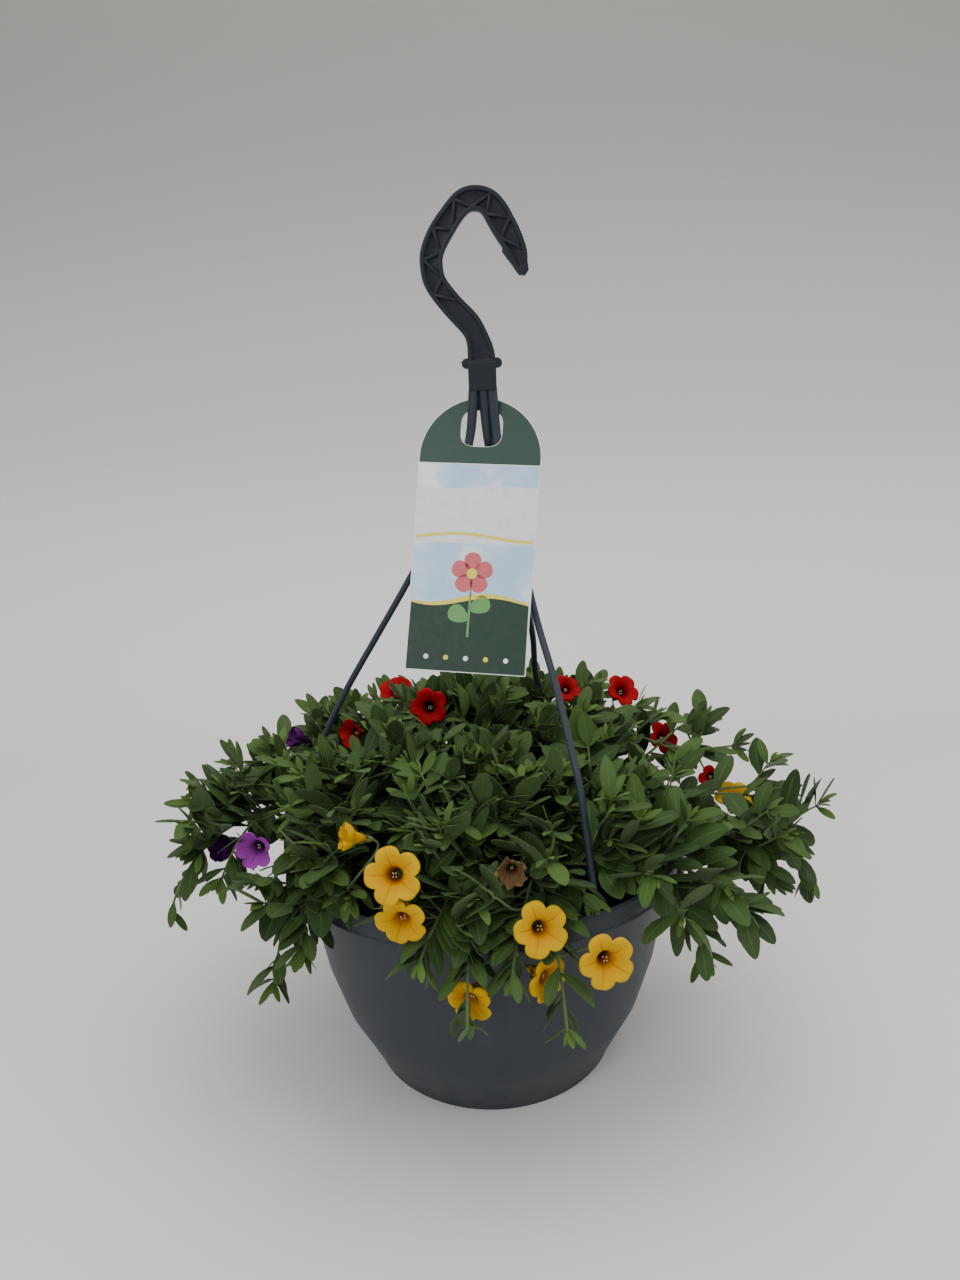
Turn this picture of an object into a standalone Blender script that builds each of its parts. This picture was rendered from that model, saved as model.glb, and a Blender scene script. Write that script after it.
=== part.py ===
# Hanging pot with three calibrachoas, yellow, red and purple, its hanger and its tag.
# Metres, +Z up. The origin is the middle of the pot's base, on the floor; -Y is the front.

import math
import random

import bmesh
import bpy
from mathutils import Euler, Matrix, Vector
from mathutils.bvhtree import BVHTree

MM = 0.001
GAP = 0.3 * MM                    # left between pieces that touch

# Pot: a bowl with a collar rim. The wall is (height, outer radius).
TURN_STEPS = 32
POT_WALL = ((0.0, 82.5), (20.0, 91.7), (45.0, 103.7), (80.0, 113.7), (151.0, 125.2))
POT_THICK = 1.8
POT_FLOOR = 2.8
RIM_RADIUS = 135.0
RIM_TOP = 166.0
RIM_FOOT = 151.0                  # lower edge of the collar
RIM_SHELF = 153.5                 # top of the shelf between wall and collar
LEDGE_TOP = 50.0                  # small ledge that carries the water floor
LEDGE_REACH = 3.0
OVERFLOW_HEIGHT = 40.0
OVERFLOW_RADIUS = 3.5

# Water floor and soil
FLOOR_PLATE = 3.2
FLOOR_HOLES = 8
FLOOR_HOLE_RADIUS = 3.5
SOIL_CROWN = 156.0                # soil surface at the middle
SOIL_EDGE = 150.5

# Hanger: hook band centreline (x, z, half width), hub block, and three arms
HUB = (8.0, 454.0)
HUB_SIZE = (16.6, 6.4, 16.0)
HOOK_THICK = 7.0
HOOK_BAND = ((34.3, 509.6, 2.9), (32.2, 514.5, 5.4), (29.8, 522.7, 6.9), (23.1, 535.4, 7.3),
             (15.6, 547.2, 6.8), (6.9, 550.3, 6.6), (-1.4, 547.3, 6.4), (-12.0, 534.6, 6.8),
             (-17.8, 524.0, 6.6), (-18.9, 516.0, 6.5), (-16.9, 506.2, 6.5), (-8.5, 494.5, 6.6),
             (2.4, 482.3, 6.8), (6.8, 471.9, 6.6), (8.0, 462.0, 8.0), (8.0, 455.0, 8.2))
HUB_KNOB = (3.0, 461.2)           # radius and height of the round knobs beside the hub
ARM_RADIUS = 2.0
ARM_SEAT = 129.6                  # radius at which an arm goes down through the shelf
ARM_TOE = (8.0, 3.2, 3.0)         # foot below the shelf: across, outwards, tall
ARM_TOE_TOP = 150.6
SLOT = (6.0, 5.0)                 # slot in the shelf: across, outwards
ARMS = {
    "left": (178.0, ((2.7, 0.5, 445.7), (-0.6, 1.2, 419.0), (-8.0, 1.5, 397.0), (-22.0, 1.5, 367.0),
                     (-43.2, 1.5, 331.0), (-65.8, 2.0, 295.0), (-87.6, 2.8, 260.0), (-105.4, 3.5, 226.0),
                     (-119.0, 4.0, 192.0), (-127.4, 4.4, 168.0))),
    "front": (-62.0, ((13.3, 0.5, 445.7), (15.3, 0.0, 419.0), (17.6, -5.5, 400.0), (24.0, -16.0, 366.0),
                      (34.5, -34.0, 315.0), (43.1, -56.4, 282.0), (49.9, -78.3, 250.0), (54.3, -91.8, 226.0),
                      (57.6, -103.5, 192.0), (60.0, -112.6, 168.0))),
    "back": (58.0, ((8.0, 0.5, 445.7), (10.4, 4.0, 415.0), (16.0, 12.0, 382.0), (26.0, 24.0, 335.0),
                    (36.5, 43.0, 283.0), (40.5, 72.0, 240.0), (54.0, 96.0, 200.0), (67.0, 108.0, 168.0))),
}

# Tag: card with a round top and a hole near it; place of the hole's middle, then turn
TAG_TOP_WIDTH = 74.5
TAG_FOOT_WIDTH = 72.5
TAG_BODY = 129.0                  # from the foot to the start of the round top
TAG_THICK = 0.6
TAG_HOLE = (25.0, 22.0)
TAG_HOLE_DROP = 18.3              # from the hole's middle down to the start of the round top
TAG_PLACE = (6.6, 1.0, 423.3)
TAG_TURN = (-21.0, 3.2, -8.5)     # lean, spin in its plane, yaw, in degrees

# Plants: crown of each on the soil (azimuth, radius), and its stems.
# A stem's name gives its plant; each tip is (azimuth, reach, height) from the pot's axis.
CROWNS = {"purple": (180.0, 48.0), "yellow": (-60.0, 48.0), "red": (60.0, 48.0)}
STEMS = {
    "purple_far": ((-172.0, 213.0, 120.0), (-166.0, 176.0, 150.0)),
    "purple_side": ((180.0, 190.0, 194.0), (-170.0, 188.0, 166.0)),
    "purple_upper": ((169.0, 180.0, 196.0), (157.0, 160.0, 200.6)),
    "purple_low": ((-142.0, 164.0, 114.0), (-133.0, 158.0, 146.0)),
    "purple_rim": ((-147.0, 152.0, 172.0), (-124.0, 140.0, 181.0)),
    "purple_tuft": ((-155.0, 116.0, 201.5), (-140.0, 138.0, 200.6)),
    "purple_back": ((138.0, 182.0, 160.0), (148.0, 150.0, 196.0)),
    "purple_inner": ((-159.0, 60.0, 213.0), (176.0, 92.0, 209.0)),
    "yellow_drop": ((-95.0, 161.0, 124.0), (-104.0, 156.0, 160.0)),
    "yellow_trail": ((-76.0, 162.0, 118.0), (-86.0, 154.0, 150.0)),
    "yellow_fore": ((-100.0, 124.0, 188.0), (-120.0, 98.0, 200.6)),
    "yellow_star": ((-69.0, 98.0, 199.7), (-90.0, 78.0, 208.0)),
    "yellow_edge": ((-66.0, 134.0, 176.0), (-51.0, 134.0, 182.0)),
    "yellow_hang": ((-43.0, 168.0, 132.0), (-33.0, 180.0, 148.0)),
    "yellow_low": ((-9.0, 214.0, 130.0), (-20.0, 184.0, 150.0)),
    "yellow_high": ((4.0, 218.0, 162.0), (-5.0, 192.0, 178.0)),
    "yellow_inner": ((-24.0, 124.0, 190.0), (-34.0, 68.0, 206.1)),
    "yellow_mid": ((-120.0, 58.0, 211.0), (-70.0, 36.0, 213.0)),
    "red_side": ((15.0, 188.0, 190.0), (26.0, 172.0, 198.8)),
    "red_edge": ((38.0, 150.0, 204.7), (10.0, 130.0, 201.5)),
    "red_top": ((50.0, 128.0, 209.0), (66.0, 100.0, 217.0)),
    "red_peak": ((84.0, 80.0, 221.0), (104.0, 100.0, 218.0)),
    "red_left": ((124.0, 98.0, 217.0), (146.0, 108.0, 213.0)),
    "red_hang": ((78.0, 186.0, 160.0), (55.0, 184.0, 166.0)),
    "red_drop": ((104.0, 188.0, 150.0), (121.0, 176.0, 176.0)),
    "red_inner": ((0.0, 78.0, 204.2), (20.0, 26.0, 213.0)),
}
# Bend (sideways, upwards) that takes a stem clear of its neighbours
STEM_BENDS = {"purple_far": (0.0, 8.0), "purple_low": (0.0, 8.0), "yellow_drop": (5.0, 12.0),
              "yellow_trail": (0.0, 6.0),
              "yellow_fore": (9.0, 4.0), "yellow_star": (-5.0, 0.0), "red_top": (-14.0, 0.0),
              "red_peak": (-9.0, 4.0)}
STEM_SPREAD = 15.0                # holes of one plant's stems round its crown
STEM_DEPTH = 9.0
STEM_RADIUS = (1.25, 0.75)        # at the soil and at the tip
HOLE_CLEAR = 0.4
MAIN_POINTS = 7
FORK_AT = 0.5
FORK_POINTS = 5

# Leaves: each shoot's leaves from its bare base to its tip
LEAVES_PER_SHOOT = (5, 4)         # on the main shoot and on its fork
LEAF_FIRST = 0.5                  # part of the shoot without leaves
LEAF_LENGTH = (34.0, 17.0)        # lowest leaf and tip leaf
LEAF_RATIO = (0.42, 0.36)         # width over length, lowest leaf and tip leaf
LEAF_THICK = 0.6
LEAF_ANGLE = (72.0, 34.0)         # off the shoot, lowest leaf and tip leaf
LEAF_TURN = 137.5                 # from a leaf to the next, round the shoot
LEAF_TRIES = 9                    # places tried before a leaf is left out
LEAF_CLEAR = 0.45                 # to every other piece
LEAF_WIDTHS = (0.0, 0.92, 0.86, 0.0)
LEAF_STATIONS = (0.0, 0.36, 0.7, 1.0)

# Blooms: (colour, azimuth, reach, height), (facing azimuth, facing elevation), diameter
BLOOMS = {
    "bloom_yellow_left": (("yellow", -108.0, 158.0, 211.0), (-96.0, 24.0), 32.0),
    "bloom_yellow_under": (("yellow", -107.0, 158.0, 184.0), (-100.0, -4.0), 29.0),
    "bloom_yellow_middle": (("yellow", -80.0, 154.0, 177.0), (-82.0, 22.0), 31.0),
    "bloom_yellow_right": (("yellow", -68.0, 164.0, 156.0), (-80.0, 12.0), 32.0),
    "bloom_yellow_hidden": (("yellow", -78.0, 147.0, 141.0), (-50.0, 2.0), 28.0),
    "bloom_yellow_low": (("yellow", -95.0, 148.0, 131.0), (-112.0, -6.0), 28.0),
    "bloom_yellow_small": (("yellow", -121.0, 142.0, 219.0), (-160.0, 18.0), 20.0),
    "bloom_yellow_side": (("yellow", -0.4, 168.1, 175.0), (-80.0, 62.0), 28.0),
    "bloom_red_front": (("red", 122.0, 72.0, 224.0), (-96.0, 22.0), 29.0),
    "bloom_red_top": (("red", 125.0, 112.0, 228.0), (-120.0, 68.0), 28.0),
    "bloom_red_left": (("red", 156.6, 100.0, 214.1), (-130.0, 10.0), 24.0),
    "bloom_red_small": (("red", 98.0, 104.0, 222.0), (-80.0, 30.0), 22.0),
    "bloom_red_back": (("red", 55.0, 112.0, 224.0), (-70.0, 50.0), 24.0),
    "bloom_red_high": (("red", 41.0, 142.0, 220.0), (-60.0, 44.0), 28.0),
    "bloom_red_right": (("red", 27.0, 149.8, 190.8), (-60.0, 34.0), 26.0),
    "bloom_red_deep": (("red", 15.0, 169.0, 168.0), (-90.0, 10.0), 20.0),
    "bloom_purple_dark": (("purple", -175.1, 173.2, 160.3), (-130.0, 6.0), 26.0),
    "bloom_purple_light": (("purple", -163.1, 152.3, 172.4), (-104.0, 6.0), 29.0),
    "bloom_purple_upper": (("purple", 159.0, 140.0, 208.0), (-150.0, 26.0), 20.0),
    "bloom_purple_deep": (("purple", -110.0, 100.0, 200.0), (-100.0, 24.0), 18.0),
    "bloom_withered": (("withered", -84.0, 124.0, 196.0), (-95.0, 6.0), 20.0),
}
BLOOM_TUBE = 0.56                 # length of the funnel over the diameter
BLOOM_LOBES = 5
BLOOM_SIDES = 3 * BLOOM_LOBES
BLOOM_NOTCH = 0.8                 # radius in the notch between two lobes, over the full radius
BLOOM_THROAT = 0.4                # radius of the throat's mouth over the full radius
PEDICEL_RADIUS = 0.8
PEDICEL_POINTS = 4
PEDICEL_END = 0.35                # room for the end of a stalk that meets its stem aslant
PEDICEL_REACH = (6.0, 68.0)       # nearest and furthest stem that a stalk may grow from

COLOURS = {
    "pot": ((0.045, 0.052, 0.060), 0.42),
    "hanger": ((0.012, 0.013, 0.016), 0.5),
    "tag": ((0.72, 0.78, 0.76), 0.35),
    "soil": ((0.030, 0.020, 0.013), 0.95),
    "water_floor": ((0.03, 0.03, 0.032), 0.5),
    "leaf": ((0.060, 0.130, 0.035), 0.6),
    "yellow": ((0.85, 0.48, 0.01), 0.6),
    "red": ((0.42, 0.005, 0.012), 0.6),
    "purple": ((0.18, 0.02, 0.30), 0.6),
    "withered": ((0.22, 0.11, 0.05), 0.8),
}


def material(name):
    found = bpy.data.materials.get(name)
    if found:
        return found
    made = bpy.data.materials.new(name)
    made.use_nodes = True
    colour, roughness = COLOURS[name]
    shader = made.node_tree.nodes["Principled BSDF"]
    shader.inputs["Base Color"].default_value = (*colour, 1.0)
    shader.inputs["Roughness"].default_value = roughness
    shader.inputs["Metallic"].default_value = 0.0
    return made


def millimetres(*values):
    return Vector(values) * MM


def polar(azimuth, reach, height):
    turn = math.radians(azimuth)
    return millimetres(reach * math.cos(turn), reach * math.sin(turn), height)


def add_object(name, mesh, collection, colour=None):
    made = bpy.data.objects.new(name, mesh)
    collection.objects.link(made)
    if colour:
        mesh.materials.clear()
        mesh.materials.append(material(colour))
    return made


def mesh_from(shape, name):
    mesh = bpy.data.meshes.new(name)
    shape.to_mesh(mesh)
    shape.free()
    return mesh


def cutter_collection(name):
    made = bpy.data.collections.new(name)
    bpy.context.scene.collection.children.link(made)
    return made


def hide_cutter(cutter):
    cutter.hide_render = True
    cutter.display_type = "WIRE"


def boolean(target, collection, operation, solver="EXACT"):
    cut = target.modifiers.new(operation.title(), "BOOLEAN")
    cut.operation = operation
    cut.operand_type = "COLLECTION"
    cut.collection = collection
    cut.solver = solver


def bake(target):
    """Apply the object's modifiers, so what they read can be removed."""
    depsgraph = bpy.context.evaluated_depsgraph_get()
    mesh = bpy.data.meshes.new_from_object(target.evaluated_get(depsgraph))
    target.modifiers.clear()
    target.data = mesh


def empty_collection(collection):
    for member in list(collection.objects):
        bpy.data.objects.remove(member)
    bpy.data.collections.remove(collection)


def turned(name, profile, colour, collection):
    """A turned shape: a profile of (radius, height), spun round Z by a Screw modifier."""
    shape = bmesh.new()
    ring = [shape.verts.new((radius * MM, 0.0, height * MM)) for radius, height in profile]
    for first, second in zip(ring, ring[1:]):
        shape.edges.new((first, second))
    made = add_object(name, mesh_from(shape, name), collection, colour)
    spin = made.modifiers.new("Turn", "SCREW")
    spin.steps = spin.render_steps = TURN_STEPS
    spin.use_merge_vertices = True
    spin.merge_threshold = 0.00001
    spin.use_smooth_shade = True
    return made


def solid_curve(name, splines, depth=0.0, extrude=0.0, cyclic=False, taper=None, sides=0):
    """A closed mesh from a curve: a tube where depth is given, else a flat outline."""
    curve = bpy.data.curves.new(name, "CURVE")
    curve.dimensions = "2D" if extrude else "3D"
    for points in splines:
        spline = curve.splines.new("POLY")
        spline.points.add(len(points) - 1)
        for index, point in enumerate(points):
            spline.points[index].co = (*point, 1.0)
            spline.points[index].radius = taper[index] if taper else 1.0
        spline.use_cyclic_u = cyclic
    if extrude:
        curve.fill_mode = "BOTH"
        curve.extrude = extrude
    else:
        curve.bevel_depth = depth
        curve.bevel_resolution = sides
        curve.use_fill_caps = True
    holder = bpy.data.objects.new(name, curve)
    bpy.context.scene.collection.objects.link(holder)
    bpy.context.view_layer.update()
    depsgraph = bpy.context.evaluated_depsgraph_get()
    mesh = bpy.data.meshes.new_from_object(holder.evaluated_get(depsgraph))
    bpy.data.objects.remove(holder)
    shape = bmesh.new()
    shape.from_mesh(mesh)
    bmesh.ops.remove_doubles(shape, verts=shape.verts, dist=0.00002)
    bmesh.ops.recalc_face_normals(shape, faces=shape.faces)
    shape.to_mesh(mesh)
    shape.free()
    return mesh


def box_mesh(name, size, place, turn=0.0):
    shape = bmesh.new()
    bmesh.ops.create_cube(shape, size=1.0)
    bmesh.ops.scale(shape, vec=Vector(size) * MM, verts=shape.verts)
    bmesh.ops.rotate(shape, cent=(0, 0, 0), matrix=Matrix.Rotation(turn, 3, "Z"), verts=shape.verts)
    bmesh.ops.translate(shape, vec=place, verts=shape.verts)
    return mesh_from(shape, name)


def cylinder_mesh(name, radius, length, place, axis="Z", sides=8):
    shape = bmesh.new()
    bmesh.ops.create_cone(shape, cap_ends=True, segments=sides, radius1=radius * MM,
                          radius2=radius * MM, depth=length * MM)
    if axis != "Z":
        turn = Matrix.Rotation(math.radians(90.0), 3, "X" if axis == "Y" else "Y")
        bmesh.ops.rotate(shape, cent=(0, 0, 0), matrix=turn, verts=shape.verts)
    bmesh.ops.translate(shape, vec=place, verts=shape.verts)
    return mesh_from(shape, name)


def smooth_path(points, count):
    """Points evenly spread along a Catmull-Rom curve through the given points."""
    points = [Vector(point) for point in points]
    ends = [2 * points[0] - points[1], *points, 2 * points[-1] - points[-2]]
    fine = []
    for index in range(1, len(ends) - 2):
        before, start, finish, after = ends[index - 1:index + 3]
        for step in range(12):
            t = step / 12.0
            fine.append(0.5 * (2 * start + (finish - before) * t
                               + (2 * before - 5 * start + 4 * finish - after) * t * t
                               + (3 * start - before - 3 * finish + after) * t ** 3))
    fine.append(points[-1])
    lengths = [0.0]
    for first, second in zip(fine, fine[1:]):
        lengths.append(lengths[-1] + (second - first).length)
    path = []
    for index in range(count):
        wanted = lengths[-1] * index / (count - 1)
        at = max(i for i, length in enumerate(lengths) if length <= wanted + 1e-12)
        if at >= len(fine) - 1:
            path.append(fine[-1].copy())
            continue
        part = (wanted - lengths[at]) / max(lengths[at + 1] - lengths[at], 1e-12)
        path.append(fine[at].lerp(fine[at + 1], part))
    return path


# Pot, water floor and soil

def wall_radius(height):
    """Outer radius of the bowl at a height, in millimetres."""
    for (low, low_radius), (high, high_radius) in zip(POT_WALL, POT_WALL[1:]):
        if height <= high:
            return low_radius + (high_radius - low_radius) * (height - low) / (high - low)
    return POT_WALL[-1][1]


def inner_radius(height):
    return wall_radius(height) - POT_THICK


def make_pot(collection):
    collar_inside = RIM_RADIUS - POT_THICK
    inside = [(0.0, POT_FLOOR), (inner_radius(POT_FLOOR) - 3.0, POT_FLOOR),
              (inner_radius(POT_FLOOR + 4.0), POT_FLOOR + 4.0), (inner_radius(20.0), 20.0),
              (inner_radius(45.0), 45.0), (inner_radius(LEDGE_TOP) - LEDGE_REACH, LEDGE_TOP - 1.0),
              (inner_radius(LEDGE_TOP) - LEDGE_REACH, LEDGE_TOP), (inner_radius(LEDGE_TOP), LEDGE_TOP),
              (inner_radius(80.0), 80.0), (inner_radius(RIM_FOOT), RIM_SHELF)]
    rim = [(collar_inside, RIM_SHELF), (collar_inside, RIM_TOP - 0.8), (collar_inside + 0.6, RIM_TOP),
           (RIM_RADIUS - 0.6, RIM_TOP), (RIM_RADIUS, RIM_TOP - 0.8), (RIM_RADIUS, RIM_FOOT)]
    outside = [(wall_radius(RIM_FOOT), RIM_FOOT), *[(radius, height) for height, radius in
                                                    reversed(POT_WALL[1:-1])]]
    foot = [(wall_radius(0.0) + 1.0, 1.6), (wall_radius(0.0), 0.0), (0.0, 0.0)]
    pot = turned("pot", inside + rim + outside + foot, "pot", collection)
    cutters = cutter_collection("pot_cutters")
    for azimuth, _ in ARMS.values():
        place = polar(azimuth, ARM_SEAT, (RIM_FOOT + RIM_SHELF) / 2)
        slot = box_mesh("slot", (SLOT[1], SLOT[0], 6.0), place, math.radians(azimuth))
        hide_cutter(add_object("pot_slot", slot, cutters))
    place = millimetres(0.0, wall_radius(OVERFLOW_HEIGHT), OVERFLOW_HEIGHT)
    overflow = cylinder_mesh("overflow", OVERFLOW_RADIUS, 12.0, place, axis="Y")
    hide_cutter(add_object("pot_overflow", overflow, cutters))
    boolean(pot, cutters, "DIFFERENCE")
    return pot


def make_water_floor(collection):
    radius = inner_radius(LEDGE_TOP) - 0.6
    low = LEDGE_TOP + GAP / MM
    high = low + FLOOR_PLATE
    plate = turned("water_floor", [(0.0, high), (radius, high), (radius, low), (0.0, low)],
                   "water_floor", collection)
    holes = cutter_collection("water_floor_cutters")
    for index in range(FLOOR_HOLES):
        ring = (34.0, 72.0)[index % 2]
        place = polar(index * 360.0 / FLOOR_HOLES, ring, (low + high) / 2)
        hole = cylinder_mesh("water_hole", FLOOR_HOLE_RADIUS, 3 * FLOOR_PLATE, place, sides=6)
        hide_cutter(add_object("water_hole", hole, holes))
    boolean(plate, holes, "DIFFERENCE")
    return plate


def make_soil(collection, roots):
    low = LEDGE_TOP + FLOOR_PLATE + 2 * GAP / MM
    fit = GAP / MM + 0.1
    profile = [(0.0, SOIL_CROWN), (60.0, SOIL_CROWN - 1.0), (inner_radius(149.0) - 3.0, SOIL_EDGE),
               (inner_radius(147.0) - fit, 147.0), (inner_radius(80.0) - fit, 80.0),
               (inner_radius(low) - fit, low), (0.0, low)]
    soil = turned("soil", profile, "soil", collection)
    holes = cutter_collection("soil_cutters")
    radius = (STEM_RADIUS[0] + HOLE_CLEAR) * 1.12
    for root in roots:
        depth = 2 * (STEM_DEPTH + 1.0)
        hole = cylinder_mesh("stem_hole", radius, depth, Vector((root.x, root.y, SOIL_CROWN * MM)), sides=6)
        hide_cutter(add_object("stem_hole", hole, holes))
    boolean(soil, holes, "DIFFERENCE")
    return soil


# Hanger and tag

def make_hook(collection):
    """The hook band's outline, offset both ways from its centreline, joined with the hub."""
    centre = [(x * MM, z * MM, 0.0) for x, z, _ in HOOK_BAND]
    steps = 24
    path = smooth_path(centre, steps)
    widths = smooth_path([(index, width, 0.0) for index, (_, _, width) in enumerate(HOOK_BAND)], 4 * steps)
    left, right = [], []
    for index, point in enumerate(path):
        ahead = path[min(index + 1, steps - 1)] - path[max(index - 1, 0)]
        across = Vector((-ahead.y, ahead.x, 0.0)).normalized()
        at = index * (len(HOOK_BAND) - 1) / (steps - 1)
        half = min(widths, key=lambda entry: abs(entry.x - at)).y * MM
        left.append(point + across * half)
        right.append(point - across * half)
    tip = path[0] + (path[0] - path[1]).normalized() * 2.6 * MM
    band = solid_curve("hook_band", [[*left, *reversed(right), tip]], extrude=HOOK_THICK * MM / 2, cyclic=True)
    band.transform(Matrix.Rotation(math.radians(90.0), 4, "X"))
    hook = add_object("hanger_hook", band, collection, "hanger")
    joined = cutter_collection("hook_parts")
    hub = box_mesh("hub", HUB_SIZE, millimetres(HUB[0], 0.0, HUB[1]))
    add_object("hook_hub", hub, joined)
    for side in (-1, 1):
        place = millimetres(HUB[0] + side * (HUB_SIZE[0] / 2 + 0.6), 0.0, HUB_KNOB[1])
        knob = cylinder_mesh("knob", HUB_KNOB[0], HUB_SIZE[1] - 0.8, place, axis="Y", sides=10)
        add_object("hook_knob", knob, joined)
    boolean(hook, joined, "UNION")
    bake(hook)
    empty_collection(joined)
    return hook


def arm_path(name):
    """An arm's route: from the hub, bowed out, then straight down into its slot."""
    azimuth, points = ARMS[name]
    seat = polar(azimuth, ARM_SEAT, 0.0)
    route = [millimetres(*point) for point in points]
    for height in (RIM_SHELF + 4.0, ARM_TOE_TOP - 2.0):
        route.append(Vector((seat.x, seat.y, height * MM)))
    return route


def make_arm(name, collection):
    azimuth, _ = ARMS[name]
    path = smooth_path(arm_path(name), 11)
    path[-1] = arm_path(name)[-1]
    path[-2] = arm_path(name)[-2]
    tube = solid_curve("arm", [path], depth=ARM_RADIUS * MM, sides=1)
    arm = add_object(f"hanger_arm_{name}", tube, collection, "hanger")
    joined = cutter_collection("arm_parts")
    place = polar(azimuth, ARM_SEAT, ARM_TOE_TOP - ARM_TOE[2] / 2)
    toe = box_mesh("toe", (ARM_TOE[1], ARM_TOE[0], ARM_TOE[2]), place, math.radians(azimuth))
    add_object("arm_toe", toe, joined)
    boolean(arm, joined, "UNION")
    bake(arm)
    empty_collection(joined)
    return arm


def tag_matrix():
    lean, spin, yaw = (math.radians(angle) for angle in TAG_TURN)
    turn = Euler((0, 0, yaw)).to_matrix() @ Euler((lean, 0, 0)).to_matrix() @ Euler((0, spin, 0)).to_matrix()
    return Matrix.Translation(millimetres(*TAG_PLACE)) @ turn.to_4x4()


def make_tag(collection):
    half_top, half_foot = TAG_TOP_WIDTH / 2, TAG_FOOT_WIDTH / 2
    foot = -TAG_HOLE_DROP - TAG_BODY
    outline = [(-half_foot, foot), (half_foot, foot)]
    for index in range(17):
        turn = math.pi * index / 16
        outline.append((half_top * math.cos(turn), half_top * math.sin(turn) - TAG_HOLE_DROP))
    half_wide, half_tall = TAG_HOLE[0] / 2, TAG_HOLE[1] / 2
    hole = [(half_wide * math.copysign(abs(math.cos(turn)) ** 0.6, math.cos(turn)),
             half_tall * math.copysign(abs(math.sin(turn)) ** 0.6, math.sin(turn)))
            for turn in (2 * math.pi * (index + 0.5) / 16 for index in range(16))]
    splines = [[(x * MM, y * MM, 0.0) for x, y in loop] for loop in (outline, hole)]
    card = solid_curve("tag", splines, extrude=TAG_THICK * MM / 2, cyclic=True)
    card.transform(Matrix.Rotation(math.radians(90.0), 4, "X"))
    card.transform(tag_matrix())
    return add_object("tag", card, collection, "tag")


# Stems: each is a main shoot with one fork

def stem_root(name):
    """Where a stem stands in the soil: spread round its plant's crown, towards its tips."""
    plant = name.split("_")[0]
    mates = [other for other in STEMS if other.split("_")[0] == plant]
    azimuth, radius = CROWNS[plant]
    crown = polar(azimuth, radius, SOIL_CROWN)
    order = sorted(mates, key=lambda other: STEMS[other][0][0] % 360.0)
    turn = math.radians((STEMS[order[0]][0][0] % 360.0) + 360.0 * order.index(name) / len(order))
    spread = STEM_SPREAD * (0.75 if order.index(name) % 2 else 1.15)
    return crown + millimetres(spread * math.cos(turn), spread * math.sin(turn), 0.0)


def bezier(points, t):
    a, b, c, d = points
    s = 1.0 - t
    return a * s ** 3 + b * 3 * s * s * t + c * 3 * s * t * t + d * t ** 3


def on_shoot(curve, count, part):
    """A point on the straight-sided tube that stands for the curve, so roots sit in its middle."""
    at = min(int(part * (count - 1)), count - 2)
    start, finish = (bezier(curve, step / (count - 1)) for step in (at, at + 1))
    return start.lerp(finish, part * (count - 1) - at)


def shoot_curves(name):
    """Control points of the stem's main shoot and of its fork."""
    root = stem_root(name)
    tips = [polar(*tip) for tip in STEMS[name]]
    crest = max(tips[0].z, 192.0 * MM)
    hang = crest - tips[0].z
    rise = root.lerp(tips[0], 0.22)
    rise.z = root.z + 0.62 * (crest - root.z)
    over = root.lerp(tips[0], 0.78)
    over.z = crest + 0.35 * hang - 4.0 * MM
    sideways, upwards = STEM_BENDS.get(name, (0.0, 0.0))
    across = (tips[0] - root).cross(Vector((0, 0, 1))).normalized()
    bend = across * sideways * MM + Vector((0, 0, upwards * MM))
    rise += bend
    over += bend
    main = (root, rise, over, tips[0])
    start = on_shoot(main, MAIN_POINTS, FORK_AT)
    ahead = (bezier(main, FORK_AT + 0.05) - bezier(main, FORK_AT - 0.05)).normalized()
    reach = (tips[1] - start).length
    over = start.lerp(tips[1], 0.66)
    over.z = max(over.z, 0.75 * max(start.z, tips[1].z) + 0.25 * over.z) + 0.06 * reach
    fork = (start, start + ahead * reach * 0.3, over, tips[1])
    return main, fork


def shoot_path(curve, count):
    return [bezier(curve, index / (count - 1)) for index in range(count)]


def stem_radius(part):
    return (STEM_RADIUS[0] + (STEM_RADIUS[1] - STEM_RADIUS[0]) * part) * MM


def stem_tubes(name):
    """Meshes of the main shoot, sunk in the soil, and of the fork."""
    main, fork = shoot_curves(name)
    path = [Vector((main[0].x, main[0].y, (SOIL_CROWN - STEM_DEPTH) * MM)), *shoot_path(main, MAIN_POINTS)]
    taper = [stem_radius(index / MAIN_POINTS) / MM for index in range(MAIN_POINTS + 1)]
    tubes = [solid_curve(name, [path], depth=MM, taper=taper)]
    taper = [stem_radius(0.5 + 0.5 * index / (FORK_POINTS - 1)) / MM for index in range(FORK_POINTS)]
    tubes.append(solid_curve(name, [shoot_path(fork, FORK_POINTS)], depth=MM, taper=taper))
    return tubes


# Leaves

class Leaf:
    """A leaf's place: its base on the shoot, the way it points, and its upper side."""

    def __init__(self, base, ahead, up, length, width, droop):
        self.base, self.ahead, self.up = base, ahead, up
        self.length, self.width, self.droop = length, width, droop

    def point(self, along, across):
        """A point of the blade; along runs 0 to 1, across -1 to 1."""
        side = self.ahead.cross(self.up)
        station = max(index for index, at in enumerate(LEAF_STATIONS[:-1]) if along >= at - 1e-6)
        low, high = LEAF_STATIONS[station:station + 2]
        part = (along - low) / (high - low)
        half = self.width / 2 * (LEAF_WIDTHS[station] * (1 - part) + LEAF_WIDTHS[station + 1] * part)
        lift = -self.droop * self.length * along * along
        return (self.base + self.ahead * self.length * along * (1 - 0.25 * self.droop * along)
                + side * half * across + self.up * lift)


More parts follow.
